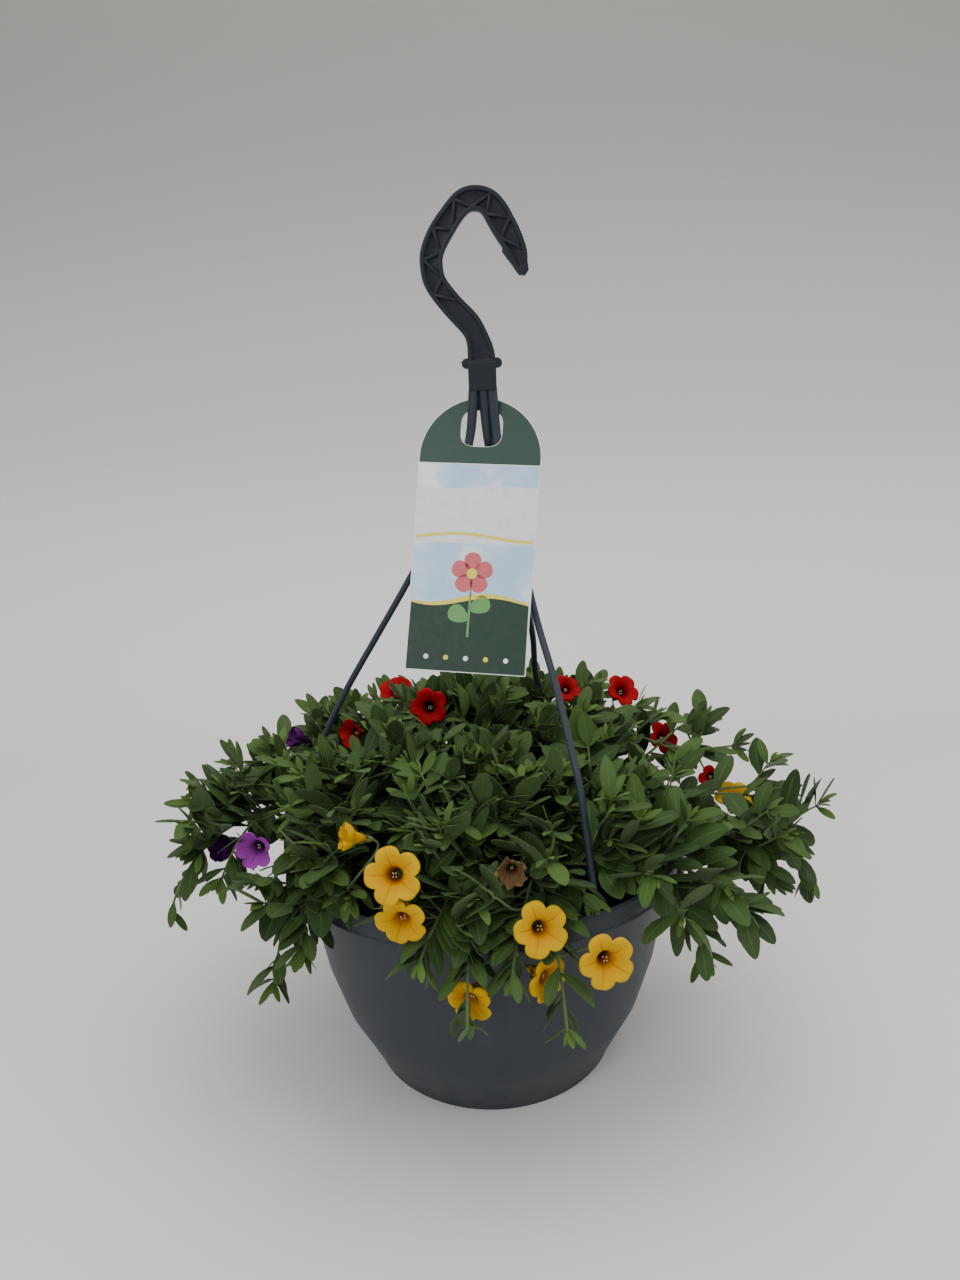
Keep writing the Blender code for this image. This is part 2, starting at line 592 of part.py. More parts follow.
def blade(leaf, thick=LEAF_THICK * MM, swell=0.0):
    """A closed blade: a shaped grid with its base and tip drawn together, given a thickness."""
    shape = bmesh.new()
    bmesh.ops.create_grid(shape, x_segments=1, y_segments=len(LEAF_STATIONS) - 1, size=1.0)
    rows = sorted({round(vert.co.y, 4) for vert in shape.verts})
    for vert in shape.verts:
        along = LEAF_STATIONS[rows.index(round(vert.co.y, 4))]
        across = vert.co.x
        vert.co = leaf.point(along, across)
        if swell:
            vert.co += leaf.ahead.cross(leaf.up) * across * swell
            vert.co += leaf.ahead * swell * (0.0 if along < 0.5 else 1.0)
    bmesh.ops.remove_doubles(shape, verts=shape.verts, dist=0.00005)
    bmesh.ops.triangulate(shape, faces=shape.faces)
    for vert in shape.verts:
        vert.co += leaf.up * thick / 2
    sheet = shape.faces[:]
    grown = bmesh.ops.extrude_face_region(shape, geom=sheet, use_keep_orig=True)
    lower = [item for item in grown["geom"] if isinstance(item, bmesh.types.BMVert)]
    bmesh.ops.translate(shape, vec=-leaf.up * thick, verts=lower)
    bmesh.ops.recalc_face_normals(shape, faces=shape.faces)
    return shape


def leaf_tries(name, shoot, index, curve):
    """The places tried for one leaf, in order. The draws are the same whatever was tried before."""
    part = index / (LEAVES_PER_SHOOT[shoot] - 1)
    draw = random.Random(f"{name} {shoot} {index}")
    along = LEAF_FIRST + (0.97 - LEAF_FIRST) * part + draw.uniform(-0.03, 0.03) * (part < 1)
    base = on_shoot(curve, (MAIN_POINTS, FORK_POINTS)[shoot], along)
    tangent = (bezier(curve, along + 0.02) - bezier(curve, along - 0.02)).normalized()
    level = Vector((0, 0, 1)) - tangent * tangent.z
    side = level.normalized() if level.length > 0.2 else Vector((tangent.x, tangent.y, 0)).normalized()
    length = (LEAF_LENGTH[0] + (LEAF_LENGTH[1] - LEAF_LENGTH[0]) * part) * draw.uniform(0.88, 1.1)
    ratio = LEAF_RATIO[0] + (LEAF_RATIO[1] - LEAF_RATIO[0]) * part
    angle = LEAF_ANGLE[0] + (LEAF_ANGLE[1] - LEAF_ANGLE[0]) * part + draw.uniform(-10, 10)
    droop = draw.uniform(0.02, 0.24)
    start = draw.uniform(0, 360) if shoot else draw.uniform(0, 60)
    for tried in range(LEAF_TRIES):
        turn = start + index * LEAF_TURN + tried * 77.0
        out = Matrix.Rotation(math.radians(turn), 3, tangent) @ side
        lean = math.radians(angle - 4.0 * tried)
        ahead = (tangent * math.cos(lean) + out * math.sin(lean)).normalized()
        sky = Vector((0, 0, 1)) * 1.1 + out * 0.2 - tangent * 0.25
        up = (sky - ahead * sky.dot(ahead))
        if up.length < 0.15:
            up = tangent - ahead * tangent.dot(ahead)
        yield Leaf(base, ahead, up.normalized(), length * MM * (1 - 0.045 * tried), length * ratio * MM, droop)


class Space:
    """What already stands, so that a leaf or a pedicel of another node stays clear of it."""

    def __init__(self):
        self.solids = []

    def add(self, owner, shape):
        low = Vector([min(vert.co[axis] for vert in shape.verts) for axis in range(3)])
        high = Vector([max(vert.co[axis] for vert in shape.verts) for axis in range(3)])
        self.solids.append((owner, (low + high) / 2, (high - low).length / 2, BVHTree.FromBMesh(shape)))

    def add_mesh(self, owner, mesh):
        shape = bmesh.new()
        shape.from_mesh(mesh)
        self.add(owner, shape)
        shape.free()

    def clashes(self, owner, shape):
        low = Vector([min(vert.co[axis] for vert in shape.verts) for axis in range(3)])
        high = Vector([max(vert.co[axis] for vert in shape.verts) for axis in range(3)])
        centre, radius = (low + high) / 2, (high - low).length / 2
        tree = None
        for other, other_centre, other_radius, other_tree in self.solids:
            if other == owner or (other_centre - centre).length > radius + other_radius:
                continue
            tree = tree or BVHTree.FromBMesh(shape)
            if tree.overlap(other_tree):
                return True
        return False


def in_pot(point):
    """True inside, or close to, the pot's wall, rim and soil."""
    radius = math.hypot(point.x, point.y) / MM
    height = point.z / MM
    if height > RIM_TOP + 1.2:
        return False
    if height > RIM_FOOT - 1.2:
        in_collar = POT_WALL[-1][1] - 1.5 < radius < RIM_RADIUS + 1.2
        return in_collar or (radius < RIM_RADIUS and height < SOIL_CROWN + 1.0)
    return radius < wall_radius(height) + 1.5


def leaf_free(leaf, owner, space):
    for along in (0.25, 0.5, 0.75, 1.0):
        for across in (-1, -0.5, 0, 0.5, 1):
            if in_pot(leaf.point(along, across)):
                return False
    shape = blade(leaf, (LEAF_THICK + 2 * LEAF_CLEAR) * MM, LEAF_CLEAR * MM)
    clash = space.clashes(owner, shape)
    shape.free()
    return not clash


def place_leaves(space):
    """The leaves of every stem, shoot by shoot, tip leaves first."""
    placed = {name: [] for name in STEMS}
    for index in reversed(range(max(LEAVES_PER_SHOOT))):
        for name in STEMS:
            for shoot, curve in enumerate(shoot_curves(name)):
                if index >= LEAVES_PER_SHOOT[shoot]:
                    continue
                for leaf in leaf_tries(name, shoot, index, curve):
                    if leaf_free(leaf, name, space):
                        shape = blade(leaf)
                        space.add(name, shape)
                        shape.free()
                        placed[name].append(leaf)
                        break
    return placed


def make_stem(name, tubes, leaves, collection):
    stem = add_object(f"stem_{name}", tubes[0], collection, "leaf")
    joined = cutter_collection("stem_parts")
    add_object("stem_fork", tubes[1], joined)
    for leaf in leaves:
        add_object("stem_leaf", mesh_from(blade(leaf), "leaf"), joined)
    boolean(stem, joined, "UNION")
    bake(stem)
    empty_collection(joined)
    return stem


# Blooms

def bloom_frame(name):
    """Place of the bloom's face, the way it faces, and the foot of its funnel."""
    (_, *place), (azimuth, elevation), diameter = BLOOMS[name]
    lift = math.radians(elevation)
    turn = math.radians(azimuth)
    facing = Vector((math.cos(lift) * math.cos(turn), math.cos(lift) * math.sin(turn), math.sin(lift)))
    face = polar(*place)
    return face, facing, face - facing * diameter * BLOOM_TUBE * MM


def corolla(name, swell=0.0):
    """Funnel and five joined lobes as one closed shape; its axis is turned to the facing."""
    face, facing, _ = bloom_frame(name)
    radius = BLOOMS[name][2] / 2 * MM + swell
    tube = BLOOMS[name][2] * BLOOM_TUBE * MM
    shape = bmesh.new()

    def ring(scale, height):
        verts = []
        sides = BLOOM_SIDES if scale == 1.0 else BLOOM_LOBES
        for index in range(sides):
            turn = 2 * math.pi * index / sides
            notch = BLOOM_NOTCH if scale == 1.0 and index % 3 == 0 else 1.0
            reach = radius * scale * notch
            verts.append(shape.verts.new((reach * math.cos(turn), reach * math.sin(turn), height)))
        return [shape.edges.new((verts[i - 1], verts[i])) for i in range(sides)], verts

    front, front_verts = ring(1.0, 0.02 * radius)
    back, _ = ring(1.0, 0.02 * radius - LEAF_THICK * MM - swell)
    mouth, mouth_verts = ring(BLOOM_THROAT, -0.12 * radius)
    neck, _ = ring(BLOOM_THROAT + 0.05, -0.12 * radius - 1.1 * LEAF_THICK * MM)
    throat, throat_verts = ring(0.02, -0.62 * tube)
    foot, foot_verts = ring(0.02, -tube)
    for first, second in ((front, mouth), (mouth, throat), (front, back), (back, neck), (neck, foot)):
        bmesh.ops.bridge_loops(shape, edges=first + second)
    bmesh.ops.pointmerge(shape, verts=throat_verts, merge_co=(0, 0, -0.62 * tube))
    bmesh.ops.pointmerge(shape, verts=foot_verts, merge_co=(0, 0, -tube))
    bmesh.ops.triangulate(shape, faces=shape.faces)
    bmesh.ops.recalc_face_normals(shape, faces=shape.faces)
    turn = facing.to_track_quat("Z", "Y").to_matrix().to_4x4()
    shape.transform(Matrix.Translation(face) @ turn)
    return shape


def pedicel_path(foot, facing, target, touch):
    """From the funnel's foot, straight on at first, then to the stem it grows from."""
    reach = (target - foot).length
    curve = (foot + facing * 2.0 * MM, foot - facing * 0.4 * reach, target + touch * 0.35 * reach, target)
    return [bezier(curve, index / (PEDICEL_POINTS - 1)) for index in range(PEDICEL_POINTS)]


def pedicel(name, space):
    """The stalk of a bloom, to the nearest stem that it can reach clear of everything else."""
    _, facing, foot = bloom_frame(name)
    nearest = []
    for stem in STEMS:
        for shoot, curve in enumerate(shoot_curves(stem)):
            for step in range(6, 40):
                part = step / 40.0
                point = on_shoot(curve, (MAIN_POINTS, FORK_POINTS)[shoot], part)
                distance = (point - foot).length
                behind = (point - foot).dot(facing) < 0.3 * distance
                if behind and PEDICEL_REACH[0] * MM < distance < PEDICEL_REACH[1] * MM:
                    radius = stem_radius(part if shoot == 0 else 0.5 + 0.5 * part)
                    nearest.append((distance, stem, point, radius))
    nearest.sort(key=lambda entry: (entry[0], entry[1]))
    for distance, stem, point, radius in nearest[:160]:
        touch = (foot - point).normalized()
        end = point + touch * (radius + PEDICEL_END * MM + GAP)
        path = pedicel_path(foot, facing, end, touch)
        if any(in_pot(step) for step in path):
            continue
        tube = solid_curve("pedicel", [path], depth=PEDICEL_RADIUS * MM)
        probe = bmesh.new()
        probe.from_mesh(tube)
        free = not space.clashes(name, probe)
        probe.free()
        if free:
            return tube
    return None


def make_bloom(name, tube, collection):
    colour = BLOOMS[name][0][0]
    bloom = add_object(name, mesh_from(corolla(name), name), collection, colour)
    if tube:
        joined = cutter_collection("bloom_parts")
        add_object("bloom_pedicel", tube, joined)
        boolean(bloom, joined, "UNION", "MANIFOLD")
        bake(bloom)
        empty_collection(joined)
    return bloom


def main():
    for found in list(bpy.data.objects):
        bpy.data.objects.remove(found)
    parts = bpy.data.collections.new("calibrachoa")
    bpy.context.scene.collection.children.link(parts)
    space = Space()
    make_pot(parts)
    make_water_floor(parts)
    make_soil(parts, [stem_root(name) for name in STEMS])
    make_hook(parts)
    for name in ARMS:
        space.add_mesh("hanger", make_arm(name, parts).data)
    space.add_mesh("tag", make_tag(parts).data)
    tubes = {name: stem_tubes(name) for name in STEMS}
    for name in STEMS:
        for tube in tubes[name]:
            space.add_mesh(name, tube)
    for name in BLOOMS:
        shape = corolla(name, LEAF_CLEAR * MM)
        space.add(name, shape)
        shape.free()
    stalks = {}
    for name in BLOOMS:
        stalks[name] = pedicel(name, space)
        if stalks[name]:
            space.add_mesh(name, stalks[name])
        else:
            print("no stalk for", name)
    leaves = place_leaves(space)
    for name in STEMS:
        make_stem(name, tubes[name], leaves[name], parts)
    for name in BLOOMS:
        make_bloom(name, stalks[name], parts)
    print("leaves", sum(len(found) for found in leaves.values()))


main()
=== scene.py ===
# Looks of the hanging calibrachoa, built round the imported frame. Metres, -Y is the front.
import math
import random

import bmesh
import bpy
from mathutils import Euler, Matrix, Vector
from mathutils.kdtree import KDTree


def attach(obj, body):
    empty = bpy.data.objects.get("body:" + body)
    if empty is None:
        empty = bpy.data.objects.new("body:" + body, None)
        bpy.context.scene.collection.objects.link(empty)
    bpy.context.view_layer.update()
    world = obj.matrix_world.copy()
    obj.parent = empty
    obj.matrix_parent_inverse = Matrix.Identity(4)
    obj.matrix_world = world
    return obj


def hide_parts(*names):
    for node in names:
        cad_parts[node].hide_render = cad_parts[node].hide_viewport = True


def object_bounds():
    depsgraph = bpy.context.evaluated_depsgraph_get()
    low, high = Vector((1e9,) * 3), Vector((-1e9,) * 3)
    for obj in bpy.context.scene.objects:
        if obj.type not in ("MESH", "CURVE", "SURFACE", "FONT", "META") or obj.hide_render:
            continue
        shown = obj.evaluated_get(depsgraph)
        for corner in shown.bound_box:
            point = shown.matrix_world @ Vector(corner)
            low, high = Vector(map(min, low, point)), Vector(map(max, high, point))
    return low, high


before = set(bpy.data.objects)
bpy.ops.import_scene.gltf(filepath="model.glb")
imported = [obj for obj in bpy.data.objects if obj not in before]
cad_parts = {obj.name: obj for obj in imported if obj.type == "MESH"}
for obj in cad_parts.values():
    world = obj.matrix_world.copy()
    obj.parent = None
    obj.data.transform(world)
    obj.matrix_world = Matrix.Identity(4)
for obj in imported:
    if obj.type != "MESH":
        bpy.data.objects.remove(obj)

mm = 0.001
cadBox = [list(corner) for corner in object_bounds()]
skyward = Vector((0, 0, 1))
bench = {}
print("frame loaded,", len(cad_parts), "nodes")


# Pieces and finishes; bench holds the node tree and the shader of the finish being made

def addPiece(name, shape, finishes, replaced=(), slot=None):
    mesh = bpy.data.meshes.new(name)
    shape.to_mesh(mesh)
    shape.free()
    for finish in finishes:
        mesh.materials.append(finish)
    piece = bpy.data.objects.new(name, mesh)
    bpy.context.scene.collection.objects.link(piece)
    if slot:
        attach(piece, "root")
    if replaced:
        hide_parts(*replaced)
    return piece


def feed(socket, value):
    if isinstance(value, bpy.types.NodeSocket):
        bench["tree"].links.new(value, socket)
    else:
        socket.default_value = value


def addNode(kind, inputs=None, **settings):
    made = bench["tree"].nodes.new(kind)
    for key, value in settings.items():
        setattr(made, key, value)
    for key, value in (inputs or {}).items():
        feed(made.inputs[key], value)
    return made


def paint(key, value):
    feed(bench["shader"].inputs[key], value)


def newFinish(name, colour, roughness, sheen=0.0, specular=0.5):
    finish = bpy.data.materials.new(name)
    finish.use_nodes = True
    bench["tree"] = finish.node_tree
    bench["shader"] = finish.node_tree.nodes["Principled BSDF"]
    paint("Base Color", (*colour, 1))
    paint("Roughness", roughness)
    paint("Sheen Weight", sheen)
    paint("Specular IOR Level", specular)
    return finish


def place():
    return addNode("ShaderNodeTexCoord").outputs["Object"]


def heightAbove():
    return addNode("ShaderNodeSeparateXYZ", {0: place()}).outputs[2]


def channels(name):
    colour = addNode("ShaderNodeAttribute", attribute_name=name).outputs["Color"]
    return addNode("ShaderNodeSeparateColor", {0: colour}).outputs[:3]


def noise(scale, detail=3, roughness=0.5, vector=None):
    return addNode("ShaderNodeTexNoise", {"Scale": scale, "Detail": detail, "Roughness": roughness,
                                          "Vector": vector or place()}).outputs["Fac"]


def sums(operation, first, second=0.0):
    return addNode("ShaderNodeMath", {0: first, 1: second}, operation=operation).outputs[0]


def times(first, second):
    return sums("MULTIPLY", first, second)


def offMiddle(value):
    return sums("ABSOLUTE", sums("SUBTRACT", value, 0.5))


def spread(value, low, high, newLow=0, newHigh=1, smooth=False):
    return addNode("ShaderNodeMapRange", {"Value": value, "From Min": low, "From Max": high,
                                          "To Min": newLow, "To Max": newHigh},
                   interpolation_type="SMOOTHSTEP" if smooth else "LINEAR").outputs[0]


def blendColours(part, first, second):
    made = addNode("ShaderNodeMix", data_type="RGBA")
    feed(made.inputs[0], part)
    for index, colour in ((6, first), (7, second)):
        feed(made.inputs[index], colour if isinstance(colour, bpy.types.NodeSocket) else (*colour, 1))
    return made.outputs[2]


def addBump(height, strength, distance):
    bump = addNode("ShaderNodeBump", {"Strength": strength, "Distance": distance, "Height": height})
    paint("Normal", bump.outputs["Normal"])


# Shared shapes

def around(turn, reach=1.0, height=0.0):
    return Vector((reach * math.cos(turn), reach * math.sin(turn), height))


def polar(azimuth, reach, height):
    return around(math.radians(azimuth), reach, height) * mm


def bezierPoint(points, t):
    a, b, c, d = points
    s = 1.0 - t
    return a * s ** 3 + b * 3 * s * s * t + c * 3 * s * t * t + d * t ** 3


def aheadAt(curve, part, step=0.02):
    return (bezierPoint(curve, part + step) - bezierPoint(curve, part - step)).normalized()


def alongLine(line, value):
    # the second number at a value of the first, between the pairs of a line
    for (low, first), (high, second) in zip(line, line[1:]):
        if value <= high:
            return first + (second - first) * (value - low) / (high - low)
    return line[-1][1]


def throughPoints(points, count):
    # even steps along a smooth curve through the points
    points = [Vector(point) for point in points]
    ends = [2 * points[0] - points[1], *points, 2 * points[-1] - points[-2]]
    fine = []
    for index in range(1, len(ends) - 2):
        before, start, finish, after = ends[index - 1:index + 3]
        for step in range(12):
            t = step / 12.0
            fine.append(0.5 * (2 * start + (finish - before) * t
                               + (2 * before - 5 * start + 4 * finish - after) * t * t
                               + (3 * start - before - 3 * finish + after) * t ** 3))
    fine.append(points[-1])
    lengths = [0.0]
    for first, second in zip(fine, fine[1:]):
        lengths.append(lengths[-1] + (second - first).length)
    path, at = [], 0
    for index in range(count):
        wanted = lengths[-1] * index / (count - 1)
        while at < len(fine) - 2 and lengths[at + 1] < wanted:
            at += 1
        path.append(fine[at].lerp(fine[at + 1], (wanted - lengths[at]) / (lengths[at + 1] - lengths[at])))
    return path


def frames(path, across):
    # a turning matrix at each point, its Z along the path, carried on without twist
    side = Vector(across) if across else (path[1] - path[0]).normalized().orthogonal()
    made = []
    for index, point in enumerate(path):
        ahead = (path[min(index + 1, len(path) - 1)] - path[max(index - 1, 0)]).normalized()
        side = (side - ahead * side.dot(ahead)).normalized()
        turn = Matrix((side, ahead.cross(side), ahead)).transposed().to_4x4()
        made.append(Matrix.Translation(point) @ turn)
    return made


def soften(faces, material=0):
    for face in faces:
        face.smooth = True
        face.material_index = material


def sharpen(shape, angle):
    for edge in shape.edges:
        if len(edge.link_faces) == 2 and edge.calc_face_angle(0.0) > angle:
            edge.smooth = False


def since(shape, firstFace):
    shape.faces.ensure_lookup_table()
    return shape.faces[firstFace:]


def edgesOf(verts):
    return list({edge for vert in verts for edge in vert.link_edges})


def vertsIn(made):
    return [item for item in made["geom"] if isinstance(item, bmesh.types.BMVert)]


def bridgeRings(shape, rings):
    for first, second in zip(rings, rings[1:]):
        bmesh.ops.bridge_loops(shape, edges=first + second)


def addTube(shape, path, radii, sides=8, flat=1.0, across=None, material=0):
    # circles along the path, bridged; flat squeezes the second axis
    rings = []
    firstFace = len(shape.faces)
    for index, (matrix, radius) in enumerate(zip(frames(path, across), radii)):
        ring = bmesh.ops.create_circle(shape, cap_ends=index in (0, len(path) - 1), segments=sides, radius=radius,
                                       matrix=matrix @ Matrix.Diagonal((1, flat, 1, 1)))["verts"]
        rings.append(edgesOf(ring))
    bridgeRings(shape, rings)
    made = since(shape, firstFace)
    bmesh.ops.recalc_face_normals(shape, faces=made)
    soften(made, material)


def turnedShape(profile, steps):
    # a profile of (radius, height) in mm, spun once round Z
    shape = bmesh.new()
    ring = [shape.verts.new((radius * mm, 0.0, height * mm)) for radius, height in profile]
    edges = [shape.edges.new(pair) for pair in zip(ring, ring[1:])]
    bmesh.ops.spin(shape, geom=ring + edges, cent=(0, 0, 0), axis=(0, 0, 1), angle=2 * math.pi,
                   steps=steps, use_merge=True)
    bmesh.ops.remove_doubles(shape, verts=shape.verts, dist=0.00002)
    bmesh.ops.recalc_face_normals(shape, faces=shape.faces)
    soften(shape.faces)
    return shape


def addBox(shape, size, matrix, bevel=0.0):
    firstFace = len(shape.faces)
    made = bmesh.ops.create_cube(shape, size=1.0, matrix=matrix @ Matrix.Diagonal((*size, 1)))["verts"]
    if bevel:
        bmesh.ops.bevel(shape, geom=edgesOf(made), offset=bevel, affect="EDGES", segments=2, profile=0.5,
                        material=-1)
    soften(since(shape, firstFace))


# Camera, floor and light

# the wall colour is painted shade: the same paper, darker where less light reaches the upright part of the sweep
studio = {"lens": 27, "near": 0.01, "eye": (0.0006, -0.589, 0.466), "pitch": 16.54, "roll": 2.22,
          "floorColour": (0.79, 0.775, 0.76), "wallPaintedShade": (0.30, 0.285, 0.265), "rise": 0.95,
          "depth": 0.85, "bend": 0.35, "bendSteps": 12, "height": 1.5, "halfWidth": 1.6, "front": -1.1,
          "sky": ((0.86, 0.88, 0.92, 1), 0.66),
          # place, target, size, power, colour
          "lamps": {"softTop": ((0.1, -0.1, 1.75), (0, 0.05, 0.15), 1.6, 19, (1, 0.985, 0.96)),
                    "softFront": ((-0.9, -1.5, 1.15), (0, 0, 0.25), 1.1, 11, (0.95, 0.97, 1)),
                    "softRight": ((1.5, -0.5, 0.9), (0, 0, 0.2), 1.0, 5, (1, 0.97, 0.94))}}


def makeCamera():
    data = bpy.data.cameras.new("camera")
    data.lens = studio["lens"]
    data.clip_start = studio["near"]
    camera = bpy.data.objects.new("camera", data)
    bpy.context.scene.collection.objects.link(camera)
    tilt = Euler((math.pi / 2 - math.radians(studio["pitch"]), 0, 0)).to_matrix()
    camera.location = studio["eye"]
    camera.rotation_euler = (tilt @ Matrix.Rotation(-math.radians(studio["roll"]), 3, "Z")).to_euler()
    bpy.context.scene.camera = camera


def makeBackdrop():
    side, depth, bend = studio["halfWidth"], studio["depth"], studio["bend"]
    turns = [math.pi / 2 * step / studio["bendSteps"] for step in range(studio["bendSteps"] + 1)]
    route = [(studio["front"], 0)]
    route += [(depth - bend * (1 - math.sin(turn)), bend * (1 - math.cos(turn))) for turn in turns]
    route.append((depth, studio["height"]))
    shape = bmesh.new()
    verts = [shape.verts.new((-side, *point)) for point in route]
    edges = [shape.edges.new(pair) for pair in zip(verts, verts[1:])]
    moved = vertsIn(bmesh.ops.extrude_edge_only(shape, edges=edges))
    bmesh.ops.translate(shape, vec=(2 * side, 0, 0), verts=moved)
    bmesh.ops.recalc_face_normals(shape, faces=shape.faces)
    soften(shape.faces)
    finish = newFinish("paperSweep", studio["floorColour"], 0.85)
    # painted shade: the paper darkens with height towards the darker wall colour, standing in for the dimmer light
    # higher up
    rise = spread(heightAbove(), 0, studio["rise"], smooth=True)
    paint("Base Color", blendColours(rise, studio["floorColour"], studio["wallPaintedShade"]))
    addPiece("backdrop", shape, [finish])


def makeLights():
    world = bpy.data.worlds.new("room")
    world.use_nodes = True
    bpy.context.scene.world = world
    for socket, value in zip(world.node_tree.nodes["Background"].inputs, studio["sky"]):
        socket.default_value = value
    for name, (spot, target, size, power, colour) in studio["lamps"].items():
        data = bpy.data.lights.new(name, "AREA")
        data.shape = "DISK"
        data.size = size
        data.energy = power
        data.color = colour
        lamp = bpy.data.objects.new(name, data)
        lamp.location = spot
        lamp.rotation_euler = (Vector(target) - Vector(spot)).to_track_quat("-Z", "Y").to_euler()
        bpy.context.scene.collection.objects.link(lamp)


makeCamera()
makeBackdrop()
makeLights()
print("stage set")


# Pot: bowl with a collar, slots for the arms and an overflow hole

pot = {"wall": ((0, 82.5), (20, 91.7), (45, 103.7), (80, 113.7), (115, 119.5), (151, 125.2)),
       "thick": 1.8, "rim": 135.0, "top": 166.0, "collarFoot": 151.0, "shelf": 153.5,
       "ledge": 50.0, "steps": 160, "slot": (5, 6, 6), "seat": 129.6, "slotTurns": (178, -62, 58),
       "overflow": (40, 3.5), "soilMiddle": 156.0, "soilEdge": 150.5}


def wallRadius(height):
    return alongLine(pot["wall"], height)


def potFinish():
    finish = newFinish("slatePlastic", (0.032, 0.038, 0.046), 0.42, specular=0.26)
    mottle = noise(9, 4, 0.6)
    fine = noise(900, 2)
    height = heightAbove()
    streak = addNode("ShaderNodeMapping", {"Vector": place(), "Scale": (30, 30, 2)}).outputs[0]
    scuffs = spread(noise(1, 5, 0.62, streak), 0.55, 0.75)
    dust = times(spread(height, 0.05, 0), spread(noise(60), 0.4, 0.7))
    base = blendColours(mottle, (0.022, 0.027, 0.033), (0.031, 0.037, 0.044))
    base = blendColours(times(scuffs, 0.12), base, (0.08, 0.09, 0.10))
    base = blendColours(times(dust, 0.25), base, (0.10, 0.085, 0.07))
    paint("Base Color", base)
    paint("Roughness", spread(mottle, 0.3, 0.7, 0.40, 0.50))
    addBump(sums("ADD", fine, times(mottle, 2)), 0.12, 0.0004)
    return finish


def potProfile():
    thick, ledge, shelf, rim, top, foot = (pot[key] for key in ("thick", "ledge", "shelf", "rim", "top", "collarFoot"))
    floor, base = wallRadius(2.8) - thick, wallRadius(0)
    onLedge, inside = wallRadius(ledge) - thick, rim - thick
    profile = [(0, 2.8), (floor - 3, 2.8), (floor + 0.6, 5.6), (wallRadius(20) - thick, 20),
               (wallRadius(45) - thick, 45), (onLedge - 3, ledge - 1), (onLedge - 3, ledge), (onLedge, ledge),
               (wallRadius(80) - thick, 80), (wallRadius(115) - thick, 115), (wallRadius(150) - thick, shelf),
               (inside, shelf), (inside, top - 0.9), (inside + 0.35, top - 0.2), (inside + 0.9, top),
               (rim - 0.35, top - 0.2), (rim, top - 0.9), (rim, top - 3), (rim - 0.35, top - 3.4),
               (rim - 0.35, foot + 2.2), (rim, foot + 1.8), (rim, foot + 0.4), (rim - 0.4, foot),
               (wallRadius(151) + 0.8, foot), (wallRadius(149), 149.6)]
    profile += [(wallRadius(height), height) for height in (140, 128, 115, 97, 80, 62, 45, 32, 20, 10)]
    return profile + [(wallRadius(2) + 0.4, 2.6), (base + 0.9, 0.9), (base, 0), (base - 4, 0), (base - 5.5, 1.2),
                      (24, 1.2), (23, 0.4), (0, 0.4)]


def makePot():
    shape = turnedShape(potProfile(), pot["steps"])
    sharpen(shape, 0.5)
    piece = addPiece("potShell", shape, [potFinish()], ("pot",), "pot")
    cuts = bmesh.new()
    for azimuth in pot["slotTurns"]:
        spot = polar(azimuth, pot["seat"], (pot["collarFoot"] + pot["shelf"]) / 2)
        turn = Matrix.Rotation(math.radians(azimuth), 4, "Z")
        addBox(cuts, [size * mm for size in pot["slot"]], Matrix.Translation(spot) @ turn)
    height, radius = pot["overflow"]
    hole = Matrix.Translation((0, wallRadius(height) * mm, height * mm)) @ Matrix.Rotation(math.pi / 2, 4, "X")
    bmesh.ops.create_cone(cuts, cap_ends=True, segments=32, radius1=radius * mm, radius2=radius * mm,
                          depth=12 * mm, matrix=hole)
    cutter = addPiece("potCutter", cuts, [])
    carve = piece.modifiers.new("slots", "BOOLEAN")
    carve.operation = "DIFFERENCE"
    carve.object = cutter
    carve.solver = "EXACT"
    mesh = bpy.data.meshes.new_from_object(piece.evaluated_get(bpy.context.evaluated_depsgraph_get()))
    piece.modifiers.clear()
    piece.data = mesh
    bpy.data.objects.remove(cutter)


makePot()
print("pot made")


# Soil: crumbs on a rough top, and the water floor under it

soil = {"grid": 64, "steps": 96, "crumbs": 900, "crumbSize": (0.6, 2.4), "rough": 1.6, "low": 54.0, "edge": 147.0,
        "gap": 0.4, "stretch": ((0.7, 1.3), (0.6, 1.1), (0.5, 0.9))}


def soilFinish():
    finish = newFinish("pottingSoil", (0.03, 0.02, 0.013), 0.95, specular=0.25)
    lumps = noise(420, 5, 0.65)
    grit = noise(2200, 2)
    base = blendColours(spread(lumps, 0.35, 0.7), (0.012, 0.008, 0.005), (0.060, 0.040, 0.025))
    paint("Base Color", blendColours(spread(grit, 0.66, 0.72), base, (0.14, 0.11, 0.08)))
    addBump(sums("ADD", lumps, grit), 0.8, 0.0012)
    return finish


def makeSoil():
    rim, middle, low = wallRadius(soil["edge"]) - pot["thick"] - soil["gap"], pot["soilMiddle"], soil["low"]
    profile = [(0, middle)]
    for step in range(1, soil["grid"]):
        part = step / (soil["grid"] - 1)
        profile.append((part * (rim - 2), middle + (pot["soilEdge"] - middle) * part ** 3))
    profile += [(rim, soil["edge"]), (wallRadius(80) - pot["thick"] - soil["gap"], 80),
                (wallRadius(low) - pot["thick"] - soil["gap"], low), (0, low)]
    shape = turnedShape(profile, soil["steps"])
    draw = random.Random("soil")
    for vert in shape.verts:
        if vert.co.z > 149 * mm:
            vert.co.z -= draw.uniform(0, soil["rough"]) * mm
    small, large = soil["crumbSize"]
    for _ in range(soil["crumbs"]):
        reach = (rim - 4) * math.sqrt(draw.random())
        turn = draw.uniform(0, 2 * math.pi)
        size = small + (large - small) * draw.random() ** 2
        top = middle + (pot["soilEdge"] - middle) * (reach / rim) ** 3 - 0.9
        matrix = (Matrix.Translation(around(turn, reach, top) * mm)
                  @ Euler((draw.uniform(0, 6), draw.uniform(0, 6), 0)).to_matrix().to_4x4()
                  @ Matrix.Diagonal((*(draw.uniform(*part) for part in soil["stretch"]), 1)))
        bmesh.ops.create_icosphere(shape, subdivisions=1, radius=size * mm / 2, matrix=matrix)
    addPiece("soilCrumbs", shape, [soilFinish()], ("soil",), "soil")


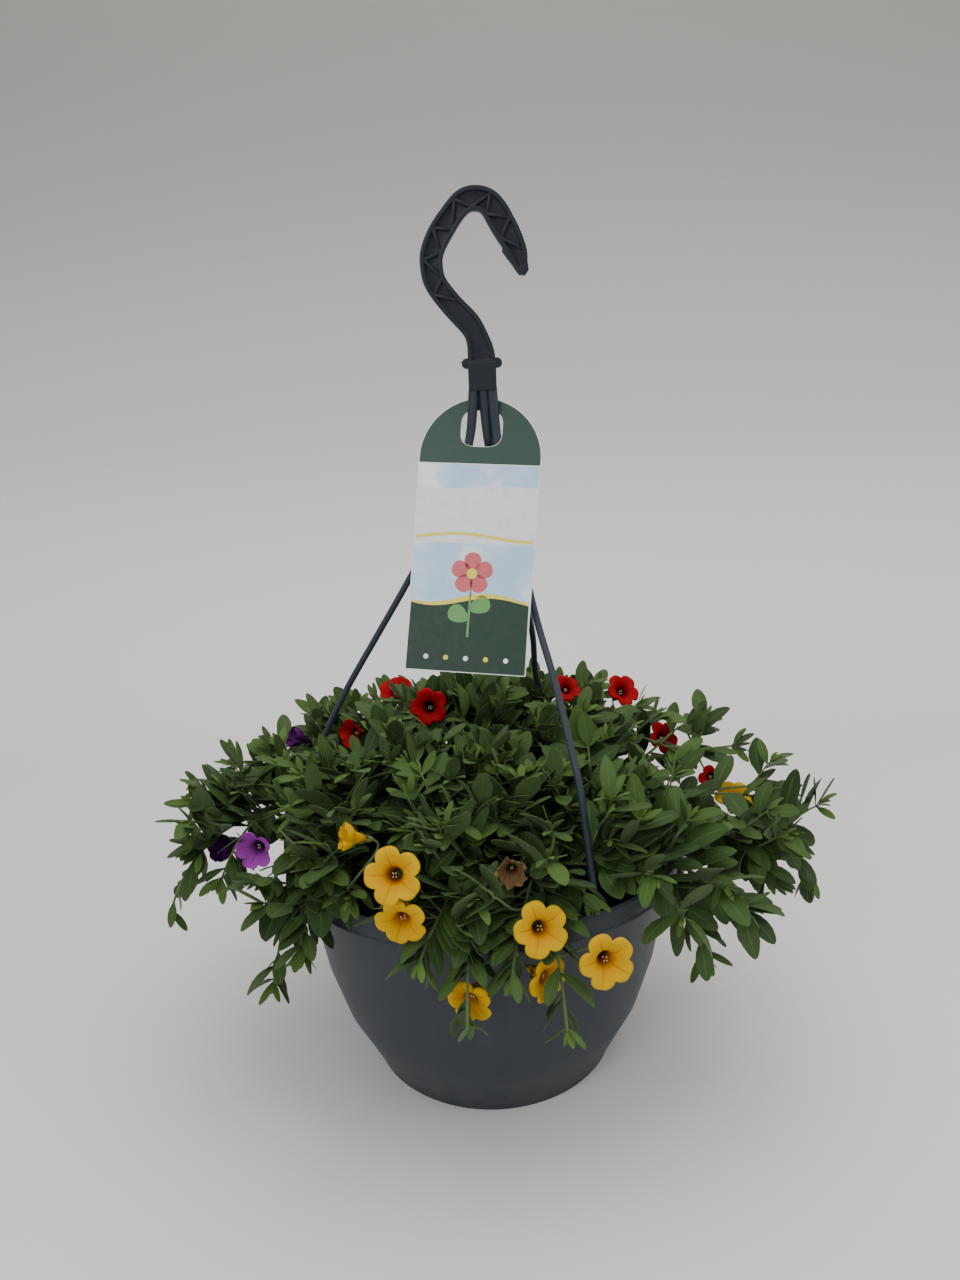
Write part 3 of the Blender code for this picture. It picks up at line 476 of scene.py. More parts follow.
def dressWaterFloor():
    finish = newFinish("reservePlastic", (0.03, 0.03, 0.032), 0.5)
    grain = noise(700)
    paint("Base Color", blendColours(grain, (0.026, 0.026, 0.028), (0.038, 0.038, 0.041)))
    addBump(grain, 0.2, 0.0004)
    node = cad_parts["water_floor"]
    node.data.materials.clear()
    node.data.materials.append(finish)


makeSoil()
dressWaterFloor()
print("soil made")


# Hanger: hook with a ribbed recess on both faces, and three arms

hook = {"band": ((34.3, 509.6, 2.9), (32.2, 514.5, 5.4), (29.8, 522.7, 6.9), (23.1, 535.4, 7.3),
                 (15.6, 547.2, 6.8), (6.9, 550.3, 6.6), (-1.4, 547.3, 6.4), (-12, 534.6, 6.8),
                 (-17.8, 524, 6.6), (-18.9, 516, 6.5), (-16.9, 506.2, 6.5), (-8.5, 494.5, 6.6),
                 (2.4, 482.3, 6.8), (6.8, 471.9, 6.6), (8, 462, 8), (8, 455, 8.2)),
        "thick": 7.0, "steps": 184, "flange": 2.6, "recess": 2.6, "recessRows": (5, 174), "corner": 0.45,
        "ribWide": 1.7, "ribs": (0.075, 0.74),
        "ribSteps": (1.5, 0.8, 1.3, 0.7, 1.4, 0.8, 1.7, 0.8, 1.3, 0.8, 1.5, 0.8, 1.5),
        "tipRound": 5.2, "tipStep": (6, 20, 1.3), "tipAhead": 0.9, "tipReach": 4.2,
        "hub": (8, 454), "hubSize": (16.6, 7.5, 16.8), "knob": (3, 461.2), "flash": ((-2.4, 461.6), (-5.2, 462.1))}
arms = {"left": (178, ((2.7, 0.5, 445.7), (-0.6, 1.2, 419), (-8, 1.5, 397), (-22, 1.5, 367),
                       (-43.2, 1.5, 331), (-65.8, 2, 295), (-87.6, 2.8, 260), (-105.4, 3.5, 226),
                       (-119, 4, 192), (-127.4, 4.4, 168))),
        "front": (-62, ((13.3, 0.5, 445.7), (15.3, 0, 419), (17.6, -5.5, 400), (24, -16, 366),
                        (34.5, -34, 315), (43.1, -56.4, 282), (49.9, -78.3, 250), (54.3, -91.8, 226),
                        (57.6, -103.5, 192), (60, -112.6, 168))),
        "back": (58, ((8, 0.5, 445.7), (10.4, 4, 415), (16, 12, 382), (26, 24, 335),
                      (36.5, 43, 283), (40.5, 72, 240), (54, 96, 200), (67, 108, 168)))}
armShape = {"wide": (3.3, 2.2), "flat": 0.94, "steps": 70, "intoHub": 1.6, "toe": (3.2, 8, 3), "toeTop": 150.6}


def hangerFinish(name, dark, light):
    finish = newFinish(name, dark, 0.46, specular=0.4)
    mottle = noise(40, 3, 0.6)
    paint("Base Color", blendColours(mottle, dark, light))
    paint("Roughness", spread(mottle, 0.3, 0.7, 0.42, 0.55))
    addBump(noise(1500, 2), 0.15, 0.0003)
    return finish


def hookLine():
    # place, sideways direction and half width at each step along the band
    steps, tip = hook["steps"], hook["tipRound"]
    path = throughPoints([(x, 0, z) for x, z, _ in hook["band"]], steps)
    widths = throughPoints([(index, wide, 0) for index, (_, _, wide) in enumerate(hook["band"])], 6 * steps)
    line = []
    for index, point in enumerate(path):
        ahead = (path[min(index + 1, steps - 1)] - path[max(index - 1, 0)]).normalized()
        at = index * (len(hook["band"]) - 1) / (steps - 1)
        half = min(widths, key=lambda entry: abs(entry.x - at)).y
        gone = (point - path[0]).length + 0.25
        if gone < tip:
            half = min(half, math.sqrt(tip ** 2 - (tip - gone) ** 2))
        line.append((point, Vector((-ahead.z, 0, ahead.x)), half))
    return line


def hookBand(line):
    # the flat band with its step at the tip, a sunk middle on both faces and worn corners
    shape, thick, steps = bmesh.new(), hook["thick"] * mm, hook["steps"]
    bmesh.ops.create_grid(shape, x_segments=3, y_segments=steps - 1, size=1.0)
    ys = sorted({round(vert.co.y, 5) for vert in shape.verts})
    first, last, swell = hook["tipStep"]
    for vert in shape.verts:
        row = ys.index(round(vert.co.y, 5))
        point, across, half = line[row]
        offset = math.copysign(half if abs(vert.co.x) > 0.9 else max(half - hook["flange"], 0.15), vert.co.x)
        if vert.co.x > 0.9 and first < row < last:
            offset += swell * min(1.0, (row - first) / first)
        vert.co = (point + across * offset) * mm + Vector((0, -thick / 2, 0))
    end, across, half = line[0]
    ahead = (end - line[1][0]).normalized()
    for vert in shape.verts:
        away = vert.co / mm - end
        if away.length < hook["tipReach"] and away.dot(end - line[1][0]) > -0.2:
            vert.co += ahead * hook["tipAhead"] * mm * math.sqrt(max(0.0, 1 - (away.dot(across) / (half + 0.01)) ** 2))
    back = vertsIn(bmesh.ops.extrude_face_region(shape, geom=shape.faces[:], use_keep_orig=True))
    bmesh.ops.translate(shape, vec=(0, thick, 0), verts=back)
    bmesh.ops.recalc_face_normals(shape, faces=shape.faces)
    for side in (-1, 1):
        sunk = []
        for face in shape.faces:
            middle = face.calc_center_median()
            if abs(middle.y - side * thick / 2) > 0.0001:
                continue
            flat = Vector((middle.x, 0, middle.z))
            near = min(range(steps), key=lambda index: (line[index][0] * mm - flat).length)
            offset = (flat / mm - line[near][0]).dot(line[near][1])
            if abs(offset) < 0.8 and hook["recessRows"][0] < near < hook["recessRows"][1]:
                sunk.append(face)
        verts = vertsIn(bmesh.ops.extrude_face_region(shape, geom=sunk))
        bmesh.ops.translate(shape, vec=(0, -side * hook["recess"] * mm, 0), verts=verts)
        bmesh.ops.delete(shape, geom=sunk, context="FACES")
    bmesh.ops.remove_doubles(shape, verts=shape.verts, dist=0.00002)
    bmesh.ops.recalc_face_normals(shape, faces=shape.faces)
    corners = [edge for edge in shape.edges if edge.calc_face_angle(0.0) > 0.9]
    bmesh.ops.bevel(shape, geom=corners, offset=hook["corner"] * mm, affect="EDGES", segments=2, profile=0.5,
                    material=-1)
    return shape


def makeHook():
    line = hookLine()
    shape = hookBand(line)
    low, high = hook["ribs"]
    ribs, depth = hook["ribSteps"], Vector((0, 1, 0))
    for index in range(len(ribs)):
        ends = []
        for step in (index, index + 1):
            part = low + (high - low) * sum(ribs[:step]) / sum(ribs)
            point, across, half = line[round(part * (hook["steps"] - 1))]
            ends.append(point + across * (1 if step % 2 else -1) * (half - hook["flange"] + 0.5))
        along = ends[1] - ends[0]
        ahead = along.normalized()
        turn = Matrix((ahead, depth, ahead.cross(depth))).transposed().to_4x4()
        addBox(shape, (along.length * mm, (hook["thick"] - 0.7) * mm, hook["ribWide"] * mm),
               Matrix.Translation((ends[0] + ends[1]) / 2 * mm) @ turn, 0.35 * mm)
    soften(shape.faces)
    (x, z), (radius, height) = hook["hub"], hook["knob"]
    addBox(shape, [size * mm for size in hook["hubSize"]], Matrix.Translation((x * mm, 0, z * mm)), 0.9 * mm)
    for side in (-1, 1):
        spot = Matrix.Translation(Vector((x + side * (hook["hubSize"][0] / 2 + 0.6), 0, height)) * mm)
        bmesh.ops.create_cone(shape, cap_ends=True, segments=28, radius1=radius * mm, radius2=radius * mm,
                              depth=(hook["hubSize"][1] - 0.8) * mm, matrix=spot @ Matrix.Rotation(math.pi / 2, 4, "X"))
    addTube(shape, [Vector((x, 0, z)) * mm for x, z in hook["flash"]], (0.5 * mm, 0.12 * mm), 6)
    sharpen(shape, 0.7)
    addPiece("hookBand", shape, [hangerFinish("hangerPlastic", (0.004, 0.006, 0.010), (0.009, 0.012, 0.018))],
             ("hanger_hook",), "hanger")


def makeArm(name, finish):
    azimuth, points = arms[name]
    turn, steps, (wide, narrow) = math.radians(azimuth), armShape["steps"], armShape["wide"]
    route = [Vector(point) * mm for point in points]
    route[0].z += armShape["intoHub"] * mm
    route += [polar(azimuth, pot["seat"], height) for height in (pot["shelf"] + 4, armShape["toeTop"] - 2)]
    radii = [(narrow + (wide - narrow) * max(0.0, 1 - 4 * index / steps)) * mm for index in range(steps)]
    shape = bmesh.new()
    addTube(shape, throughPoints(route, steps), radii, 14, armShape["flat"], (-math.sin(turn), math.cos(turn), 0))
    spot = polar(azimuth, pot["seat"], armShape["toeTop"] - armShape["toe"][2] / 2)
    addBox(shape, [size * mm for size in armShape["toe"]],
           Matrix.Translation(spot) @ Matrix.Rotation(turn, 4, "Z"), 0.5 * mm)
    sharpen(shape, 0.8)
    addPiece(f"arm{name.title()}", shape, [finish], (f"hanger_arm_{name}",), "hanger")


makeHook()
# painted light: the arms get a lighter copy of the hook's dark plastic, standing in for the light that they catch
armPlasticPaintedLight = hangerFinish("armPlasticPaintedLight", (0.014, 0.020, 0.029), (0.026, 0.035, 0.048))
for armName in arms:
    makeArm(armName, armPlasticPaintedLight)
print("hanger made")


# Tag: card with a round top, printed in flat inks laid on both faces. Heights run down from the hole's middle.

tag = {"topWidth": 74.5, "footWidth": 72.5, "body": 129.0, "thick": 0.6, "hole": (12.5, 11), "holeDrop": 18.3,
       "place": (6.6, 1, 423.3), "turn": (-21, 3.2, -8.5), "ink": 0.03, "edge": 0.5, "headFoot": -21.5,
       "bandTop": -22.3, "skyTop": -70, "skyFoot": -100, "petals": 5, "flower": (0.3, -88, 12.5),
       "dots": (-24, 12, 5, 1.5), "leaves": ((-1, -116), (1, -110))}
tagInks = {"tagCard": (0.80, 0.81, 0.79), "tagGreen": (0.010, 0.048, 0.026), "tagSky": (0.7, 0.8, 0.86),
           "tagYellow": (0.78, 0.66, 0.05), "tagRed": (0.62, 0.09, 0.10), "tagLeaf": (0.10, 0.30, 0.06),
           "tagMeadow": (0.003, 0.030, 0.011)}
ink = {name: index for index, name in enumerate(tagInks)}
inkGloss = {"tagGreen": 0.42, "tagMeadow": 0.5}


def tagMatrix():
    lean, spin, yaw = (math.radians(angle) for angle in tag["turn"])
    turn = Euler((0, 0, yaw)).to_matrix() @ Euler((lean, 0, 0)).to_matrix() @ Euler((0, spin, 0)).to_matrix()
    return Matrix.Translation(Vector(tag["place"]) * mm) @ turn.to_4x4()


def flatShape(shape, loops, thick, level, matrix, material):
    # outlines in the card's plane (x across, y up, mm), filled and given a thickness
    curve = bpy.data.curves.new("outline", "CURVE")
    curve.dimensions = "2D"
    curve.fill_mode = "BOTH"
    curve.extrude = thick / 2 * mm
    for loop in loops:
        spline = curve.splines.new("POLY")
        spline.points.add(len(loop) - 1)
        for point, (x, y) in zip(spline.points, loop):
            point.co = (x * mm, y * mm, 0, 1)
        spline.use_cyclic_u = True
    holder = bpy.data.objects.new("outline", curve)
    bpy.context.scene.collection.objects.link(holder)
    bpy.context.view_layer.update()
    mesh = bpy.data.meshes.new_from_object(holder.evaluated_get(bpy.context.evaluated_depsgraph_get()))
    bpy.data.objects.remove(holder)
    mesh.transform(matrix @ Matrix.Rotation(math.pi / 2, 4, "X") @ Matrix.Translation((0, 0, level * mm)))
    firstFace, firstVert = len(shape.faces), len(shape.verts)
    shape.from_mesh(mesh)
    bpy.data.meshes.remove(mesh)
    shape.verts.ensure_lookup_table()
    bmesh.ops.remove_doubles(shape, verts=shape.verts[firstVert:], dist=0.00001)
    made = since(shape, firstFace)
    bmesh.ops.recalc_face_normals(shape, faces=made)
    for face in made:
        face.material_index = material
        face.smooth = False


def arcPoints(x, y, radius, finish, count):
    turns = [math.radians(finish * index / (count - 1)) for index in range(count)]
    return [(x + radius * math.cos(turn), y + radius * math.sin(turn)) for turn in turns]


def holeOutline(grow=0.0):
    wide, tall = (half + grow for half in tag["hole"])
    points = []
    for index in range(48):
        turn = 2 * math.pi * (index + 0.5) / 48
        c, s = math.cos(turn), math.sin(turn)
        points.append((wide * math.copysign(abs(c) ** 0.6, c), tall * math.copysign(abs(s) ** 0.6, s)))
    return points


def edgeAt(y):
    # half width of the card at a height
    part = (y + tag["holeDrop"] + tag["body"]) / tag["body"]
    return (tag["footWidth"] + (tag["topWidth"] - tag["footWidth"]) * part) / 2


def acrossCard(y, inset):
    return [(-edgeAt(y) + inset, y), (edgeAt(y) - inset, y)]


def waveLine(y, swing, length, phase, squeeze=1.0, reach=36, step=3):
    return [(x * squeeze, y + swing * math.sin(x / length + phase)) for x in range(-reach, reach + 1, step)]


def inkFinish(name):
    colour, roughness = tagInks[name], inkGloss.get(name, 0.34)
    finish = newFinish(name, colour, roughness)
    if name == "tagSky":
        clouds = spread(noise(26, 3, 0.55), 0.42, 0.62, smooth=True)
        paint("Base Color", blendColours(clouds, (0.42, 0.62, 0.78), (0.86, 0.88, 0.88)))
        return finish
    fibre = noise(260, 3, 0.6)
    darker = tuple(value * 0.9 for value in colour)
    paint("Base Color", blendColours(spread(fibre, 0.35, 0.7), darker, colour))
    paint("Roughness", spread(fibre, 0.3, 0.7, roughness - 0.04, roughness + 0.08))
    addBump(fibre, 0.06, 0.0003)
    return finish


def petalLoop(x, y, size, turn):
    points = []
    c, s = math.cos(turn), math.sin(turn)
    for index in range(24):
        t = 2 * math.pi * index / 24
        px, py = 0.52 * size * math.sin(t) * (0.75 - 0.25 * math.cos(t)), size * (0.52 - 0.5 * math.cos(t))
        points.append((x + px * c - py * s, y + px * s + py * c))
    return points


def frontPrint():
    # loops, layer and ink of each printed area on the front
    foot, inset = -tag["holeDrop"] - tag["body"], tag["edge"]
    band = waveLine(-36, 1.4, 15, 0.4, 0.99, 37, 2)
    low = waveLine(-104, 3.2, 12, 0.6)
    upper = waveLine(-66, 1.8, 13, 2.2, 0.99)
    yield [band + acrossCard(tag["bandTop"], inset)[::-1]], 1, "tagSky"
    (left, _), (right, _) = acrossCard(tag["skyFoot"], inset)
    sky = [(left, low[0][1]), *low[1:-1], (right, low[-1][1])]
    yield [sky + acrossCard(tag["skyTop"], inset)[::-1]], 1, "tagSky"
    meadow = [(x, foot + inset) for x, _ in acrossCard(foot, inset)]
    yield [meadow + [(x * 0.985, y) for x, y in reversed(low)]], 1, "tagMeadow"
    yield [[(x * 0.985, y + 1.1) for x, y in low]
           + [(x * 0.985, y - 1.1 - 0.8 * math.cos(x / 14)) for x, y in reversed(low)]], 2, "tagYellow"
    yield [[(x, y + 0.9) for x, y in upper] + [(x, y - 0.9) for x, y in reversed(upper)]], 2, "tagYellow"
    yield [[(-0.7, -126), (0.7, -126), (0.9, -92), (-0.3, -92)]], 2, "tagLeaf"
    for side, height in tag["leaves"]:
        yield [petalLoop(0.2 * side, height, 13, math.radians(-62 * side))], 2, "tagLeaf"
    x, y, size = tag["flower"]
    for petal in range(tag["petals"]):
        yield [petalLoop(x, y, size, math.radians(72 * petal))], 2, "tagRed"
    yield [arcPoints(x, y, 3.2, 345, 24)], 3, "tagYellow"
    start, step, count, size = tag["dots"]
    for dot in range(count):
        yield [arcPoints(start + step * dot, foot + 8.5, size, 345, 16)], 2, "tagYellow" if dot % 2 else "tagSky"


def backPrint():
    # a pale panel with a plain flower
    low, high = -tag["holeDrop"] - tag["body"], tag["headFoot"]
    panel = [(x, low + 3) for x, _ in acrossCard(low, 3)] + [(x, high - 4) for x, _ in acrossCard(high, 3)[::-1]]
    yield [panel], 1, "tagSky"
    yield [petalLoop(0, -80, 16, math.radians(72 * petal)) for petal in range(tag["petals"])], 2, "tagGreen"


def makeTag():
    matrix = tagMatrix()
    shape = bmesh.new()
    drop, half, layer = tag["holeDrop"], tag["topWidth"] / 2, tag["ink"]
    card = acrossCard(-drop - tag["body"], 0) + arcPoints(0, -drop, half, 180, 49)
    flatShape(shape, [card, holeOutline()], tag["thick"] - 4 * layer, 0.0, matrix, 0)
    head = acrossCard(tag["headFoot"], tag["edge"]) + arcPoints(0, -drop, half - tag["edge"], 180, 49)
    for side, areas in ((1, frontPrint()), (-1, backPrint())):
        top = side * (tag["thick"] / 2 - 2 * layer)
        for loops, level, name in (([head, holeOutline(0.25)], 1, "tagGreen"), *areas):
            flatShape(shape, loops, layer, top + side * layer * (level - 0.5), matrix, ink[name])
    addPiece("tagCard", shape, [inkFinish(name) for name in tagInks], ("tag",), "tag")


makeTag()
print("tag made")


# Plants: the rule that places stems, leaves and stalks is the one that the solids follow.
# Each stem has two tips, and each bloom a place and a facing: azimuth, reach, height; azimuth, elevation; width.

plants = {"crowns": {"purple": (180, 48), "yellow": (-60, 48), "red": (60, 48)},
          "spread": 15.0, "depth": 9.0, "radius": (1.25, 0.75), "points": (7, 5), "forkAt": 0.5}
stems = {
    "purple_far": ((-172, 213, 120), (-166, 176, 150)), "purple_side": ((180, 190, 194), (-170, 188, 166)),
    "purple_upper": ((169, 180, 196), (157, 160, 200.6)), "purple_low": ((-142, 164, 114), (-133, 158, 146)),
    "purple_rim": ((-147, 152, 172), (-124, 140, 181)), "purple_tuft": ((-155, 116, 201.5), (-140, 138, 200.6)),
    "purple_back": ((138, 182, 160), (148, 150, 196)), "purple_inner": ((-159, 60, 213), (176, 92, 209)),
    "yellow_drop": ((-95, 161, 124), (-104, 156, 160)), "yellow_trail": ((-76, 162, 118), (-86, 154, 150)),
    "yellow_fore": ((-100, 124, 188), (-120, 98, 200.6)), "yellow_star": ((-69, 98, 199.7), (-90, 78, 208)),
    "yellow_edge": ((-66, 134, 176), (-51, 134, 182)), "yellow_hang": ((-43, 168, 132), (-33, 180, 148)),
    "yellow_low": ((-9, 214, 130), (-20, 184, 150)), "yellow_high": ((4, 218, 162), (-5, 192, 178)),
    "yellow_inner": ((-24, 124, 190), (-34, 68, 206.1)), "yellow_mid": ((-120, 58, 211), (-70, 36, 213)),
    "red_side": ((15, 188, 190), (26, 172, 198.8)), "red_edge": ((38, 150, 204.7), (10, 130, 201.5)),
    "red_top": ((50, 128, 209), (66, 100, 217)), "red_peak": ((84, 80, 221), (104, 100, 218)),
    "red_left": ((124, 98, 217), (146, 108, 213)), "red_hang": ((78, 186, 160), (55, 184, 166)),
    "red_drop": ((104, 188, 150), (121, 176, 176)), "red_inner": ((0, 78, 204.2), (20, 26, 213))}
stemBends = {"purple_far": (0, 8), "purple_low": (0, 8), "yellow_drop": (5, 12), "yellow_trail": (0, 6),
             "yellow_fore": (9, 4), "yellow_star": (-5, 0), "red_top": (-14, 0), "red_peak": (-9, 4)}
leafRule = {"perShoot": (5, 4), "first": 0.5, "last": 0.97, "length": (34, 17), "ratio": (0.42, 0.36), "thick": 0.6,
            "angle": (72, 34), "turn": 137.5, "tries": 9, "widths": (0, 0.92, 0.86, 0), "stations": (0, 0.36, 0.7, 1)}
blooms = {
    "yellow_left": ((-108, 158, 211), (-96, 24), 32), "yellow_under": ((-107, 158, 184), (-100, -4), 29),
    "yellow_middle": ((-80, 154, 177), (-82, 22), 31), "yellow_right": ((-68, 164, 156), (-80, 12), 32),
    "yellow_hidden": ((-78, 147, 141), (-50, 2), 28), "yellow_low": ((-95, 148, 131), (-112, -6), 28),
    "yellow_small": ((-121, 142, 219), (-160, 18), 20), "yellow_side": ((-0.4, 168.1, 175), (-80, 62), 28),
    "red_front": ((122, 72, 224), (-96, 22), 29), "red_top": ((125, 112, 228), (-120, 68), 28),
    "red_left": ((156.6, 100, 214.1), (-130, 10), 24), "red_small": ((98, 104, 222), (-80, 30), 22),
    "red_back": ((55, 112, 224), (-70, 50), 24), "red_high": ((41, 142, 220), (-60, 44), 28),
    "red_right": ((27, 149.8, 190.8), (-60, 34), 26), "red_deep": ((15, 169, 168), (-90, 10), 20),
    "purple_dark": ((-175.1, 173.2, 160.3), (-130, 6), 26), "purple_light": ((-163.1, 152.3, 172.4), (-104, 6), 29),
    "purple_upper": ((159, 140, 208), (-150, 26), 20), "purple_deep": ((-110, 100, 200), (-100, 24), 18),
    "withered": ((-84, 124, 196), (-95, 6), 20)}
bloomRule = {"tube": 0.56, "stalk": 0.8, "stalkEnd": 0.35, "gap": 0.3, "reach": (6, 68)}


def kindOf(name):
    return name.split("_")[0]


def titled(name):
    return "".join(word.title() for word in name.split("_"))


def stemRoot(name):
    azimuth, radius = plants["crowns"][kindOf(name)]
    mates = [other for other in stems if kindOf(other) == kindOf(name)]
    order = sorted(mates, key=lambda other: stems[other][0][0] % 360)
    turn = math.radians((stems[order[0]][0][0] % 360) + 360 * order.index(name) / len(order))
    reach = plants["spread"] * (0.75 if order.index(name) % 2 else 1.15)
    return polar(azimuth, radius, pot["soilMiddle"]) + around(turn, reach) * mm


def onShoot(curve, shoot, part):
    # a place on the straight pieces that the solids' stems are made of
    last = plants["points"][shoot] - 1
    at = min(int(part * last), last - 1)
    start, finish = (bezierPoint(curve, step / last) for step in (at, at + 1))
    return start.lerp(finish, part * last - at)


def shootCurves(name):
    root = stemRoot(name)
    tips = [polar(*tip) for tip in stems[name]]
    crest = max(tips[0].z, 192 * mm)
    rise = root.lerp(tips[0], 0.22)
    rise.z = root.z + 0.62 * (crest - root.z)
    over = root.lerp(tips[0], 0.78)
    over.z = crest + 0.35 * (crest - tips[0].z) - 4 * mm
    sideways, upwards = stemBends.get(name, (0, 0))
    bend = (tips[0] - root).cross(skyward).normalized() * sideways * mm + skyward * upwards * mm
    main = (root, rise + bend, over + bend, tips[0])
    start = onShoot(main, 0, plants["forkAt"])
    reach = (tips[1] - start).length
    over = start.lerp(tips[1], 0.66)
    over.z = max(over.z, 0.75 * max(start.z, tips[1].z) + 0.25 * over.z) + 0.06 * reach
    return main, (start, start + aheadAt(main, plants["forkAt"], 0.05) * reach * 0.3, over, tips[1])


def stemRadius(shoot, part):
    thick, thin = plants["radius"]
    return (thick + (thin - thick) * (0.5 + 0.5 * part if shoot else part)) * mm


def outFrom(tangent, turn):
    level = skyward - tangent * tangent.z
    side = level.normalized() if level.length > 0.2 else Vector((tangent.x, tangent.y, 0)).normalized()
    return Matrix.Rotation(turn, 3, tangent) @ side


def leanFrom(tangent, out, lean, outward, back):
    # a leaf's direction and the way that its upper face looks
    ahead = (tangent * math.cos(lean) + out * math.sin(lean)).normalized()
    sky = skyward * 1.1 + out * outward - tangent * back
    up = sky - ahead * sky.dot(ahead)
    if up.length < 0.15:
        up = tangent - ahead * tangent.dot(ahead)
    return ahead, up.normalized()


def leafTries(name, shoot, index, curve):
    # the solids' places for one leaf, in the order in which they were tried
    part = index / (leafRule["perShoot"][shoot] - 1)
    draw = random.Random(f"{name} {shoot} {index}")
    first, last = leafRule["first"], leafRule["last"]
    along = first + (last - first) * part + draw.uniform(-0.03, 0.03) * (part < 1)
    base, tangent = onShoot(curve, shoot, along), aheadAt(curve, along)
    length, ratio, angle = (leafRule[key][0] + (leafRule[key][1] - leafRule[key][0]) * part
                            for key in ("length", "ratio", "angle"))
    length *= draw.uniform(0.88, 1.1)
    angle += draw.uniform(-10, 10)
    droop = draw.uniform(0.02, 0.24)
    start = draw.uniform(0, 360) if shoot else draw.uniform(0, 60)
    for tried in range(leafRule["tries"]):
        out = outFrom(tangent, math.radians(start + index * leafRule["turn"] + tried * 77))
        ahead, up = leanFrom(tangent, out, math.radians(angle - 4 * tried), 0.2, 0.25)
        yield {"base": base, "ahead": ahead, "up": up, "length": length * mm * (1 - 0.045 * tried),
               "width": length * ratio * mm, "droop": droop, "shift": bezierPoint(curve, along) - base}


def leafPoint(leaf, along, half, across):
    side = leaf["ahead"].cross(leaf["up"])
    return (leaf["base"] + leaf["ahead"] * leaf["length"] * along * (1 - 0.25 * leaf["droop"] * along)
            + side * half * across - leaf["up"] * leaf["droop"] * leaf["length"] * along * along)


def standsIn(tree, leaf):
    # true where the solid's mesh has this leaf's corners
    found = 0
    for along, wide in zip(leafRule["stations"][1:], leafRule["widths"][1:]):
        for across in ((-1, 1) if wide else (0,)):
            for side in (-0.5, 0.5):
                corner = (leafPoint(leaf, along, leaf["width"] / 2 * wide, across)
                          + leaf["up"] * side * leafRule["thick"] * mm)
                found += tree.find(corner)[2] < 0.12 * mm
    return found >= 5


def nodeTree(node):
    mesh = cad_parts[node].data
    tree = KDTree(len(mesh.vertices))
    for vert in mesh.vertices:
        tree.insert(vert.co, vert.index)
    tree.balance()
    return tree


def bloomFrame(name):
    spot, (azimuth, elevation), width = blooms[name]
    lift, turn = math.radians(elevation), math.radians(azimuth)
    facing = Vector((math.cos(lift) * math.cos(turn), math.cos(lift) * math.sin(turn), math.sin(lift)))
    face = polar(*spot)
    return face, facing, face - facing * width * bloomRule["tube"] * mm


def stalkEnd(name, tree):
    # the stem point that the solid's stalk ends at: its end ring is in the mesh
    _, facing, foot = bloomFrame(name)
    near, far = (reach * mm for reach in bloomRule["reach"])
    found = []
    for stem in stems:
        for shoot, curve in enumerate(curves[stem]):
            for step in range(6, 40):
                part = step / 40
                point = onShoot(curve, shoot, part)
                away = point - foot
                if near < away.length < far and away.dot(facing) < 0.3 * away.length:
                    found.append((away.length, stem, point, stemRadius(shoot, part), bezierPoint(curve, part)))
    found.sort(key=lambda entry: entry[:2])
    for _, _, point, radius, true in found:
        touch = (foot - point).normalized()
        end = point + touch * (radius + (bloomRule["stalkEnd"] + bloomRule["gap"]) * mm)
        if len(tree.find_range(end, (bloomRule["stalk"] + 0.06) * mm)) >= 4:
            return end, touch, true
    return None


# Leaves: folded blades on twigs and stems, each with a thickness

bladeForm = {"thick": 0.34, "stations": (0, 0.12, 0.3, 0.5, 0.7, 0.87, 0.96, 1),
             "outline": (0.10, 0.36, 0.80, 1, 0.93, 0.62, 0.32, 0), "fineAcross": 4, "smallAcross": 2}


def startFoliage():
    shape = bmesh.new()
    shape.loops.layers.uv.new("leafUV")
    shape.loops.layers.float_color.new("leafKind")
    return shape


def joinShape(shape, part):
    # adds a small mesh to a large one
    part.to_mesh(scratch)
    part.free()
    shape.from_mesh(scratch)


def bladeTemplate(across):
    # flat blade: x across, y the station's number, z 0 above and -1 below
    blade = startFoliage()
    stations = len(bladeForm["stations"]) - 1
    verts = bmesh.ops.create_grid(blade, x_segments=across, y_segments=stations, size=1.0, calc_uvs=True)["verts"]
    for vert in verts:
        row = round((vert.co.y + 1) / 2 * stations)
        vert.co = (0.0 if row == stations else vert.co.x, row, 0.0)
    lower = vertsIn(bmesh.ops.extrude_face_region(blade, geom=blade.faces[:], use_keep_orig=True))
    bmesh.ops.translate(blade, vec=(0, 0, -1), verts=lower)
    bmesh.ops.remove_doubles(blade, verts=blade.verts, dist=0.001)
    bmesh.ops.recalc_face_normals(blade, faces=blade.faces)
    soften(blade.faces)
    kind = blade.loops.layers.float_color["leafKind"]
    for face in blade.faces:
        for corner in face.loops:
            corner[kind] = (0, 0, float(face.normal.z < -0.1), 1)
    for edge in blade.edges:
        edge.smooth = edge.calc_face_angle(0.0) < 1
    return blade


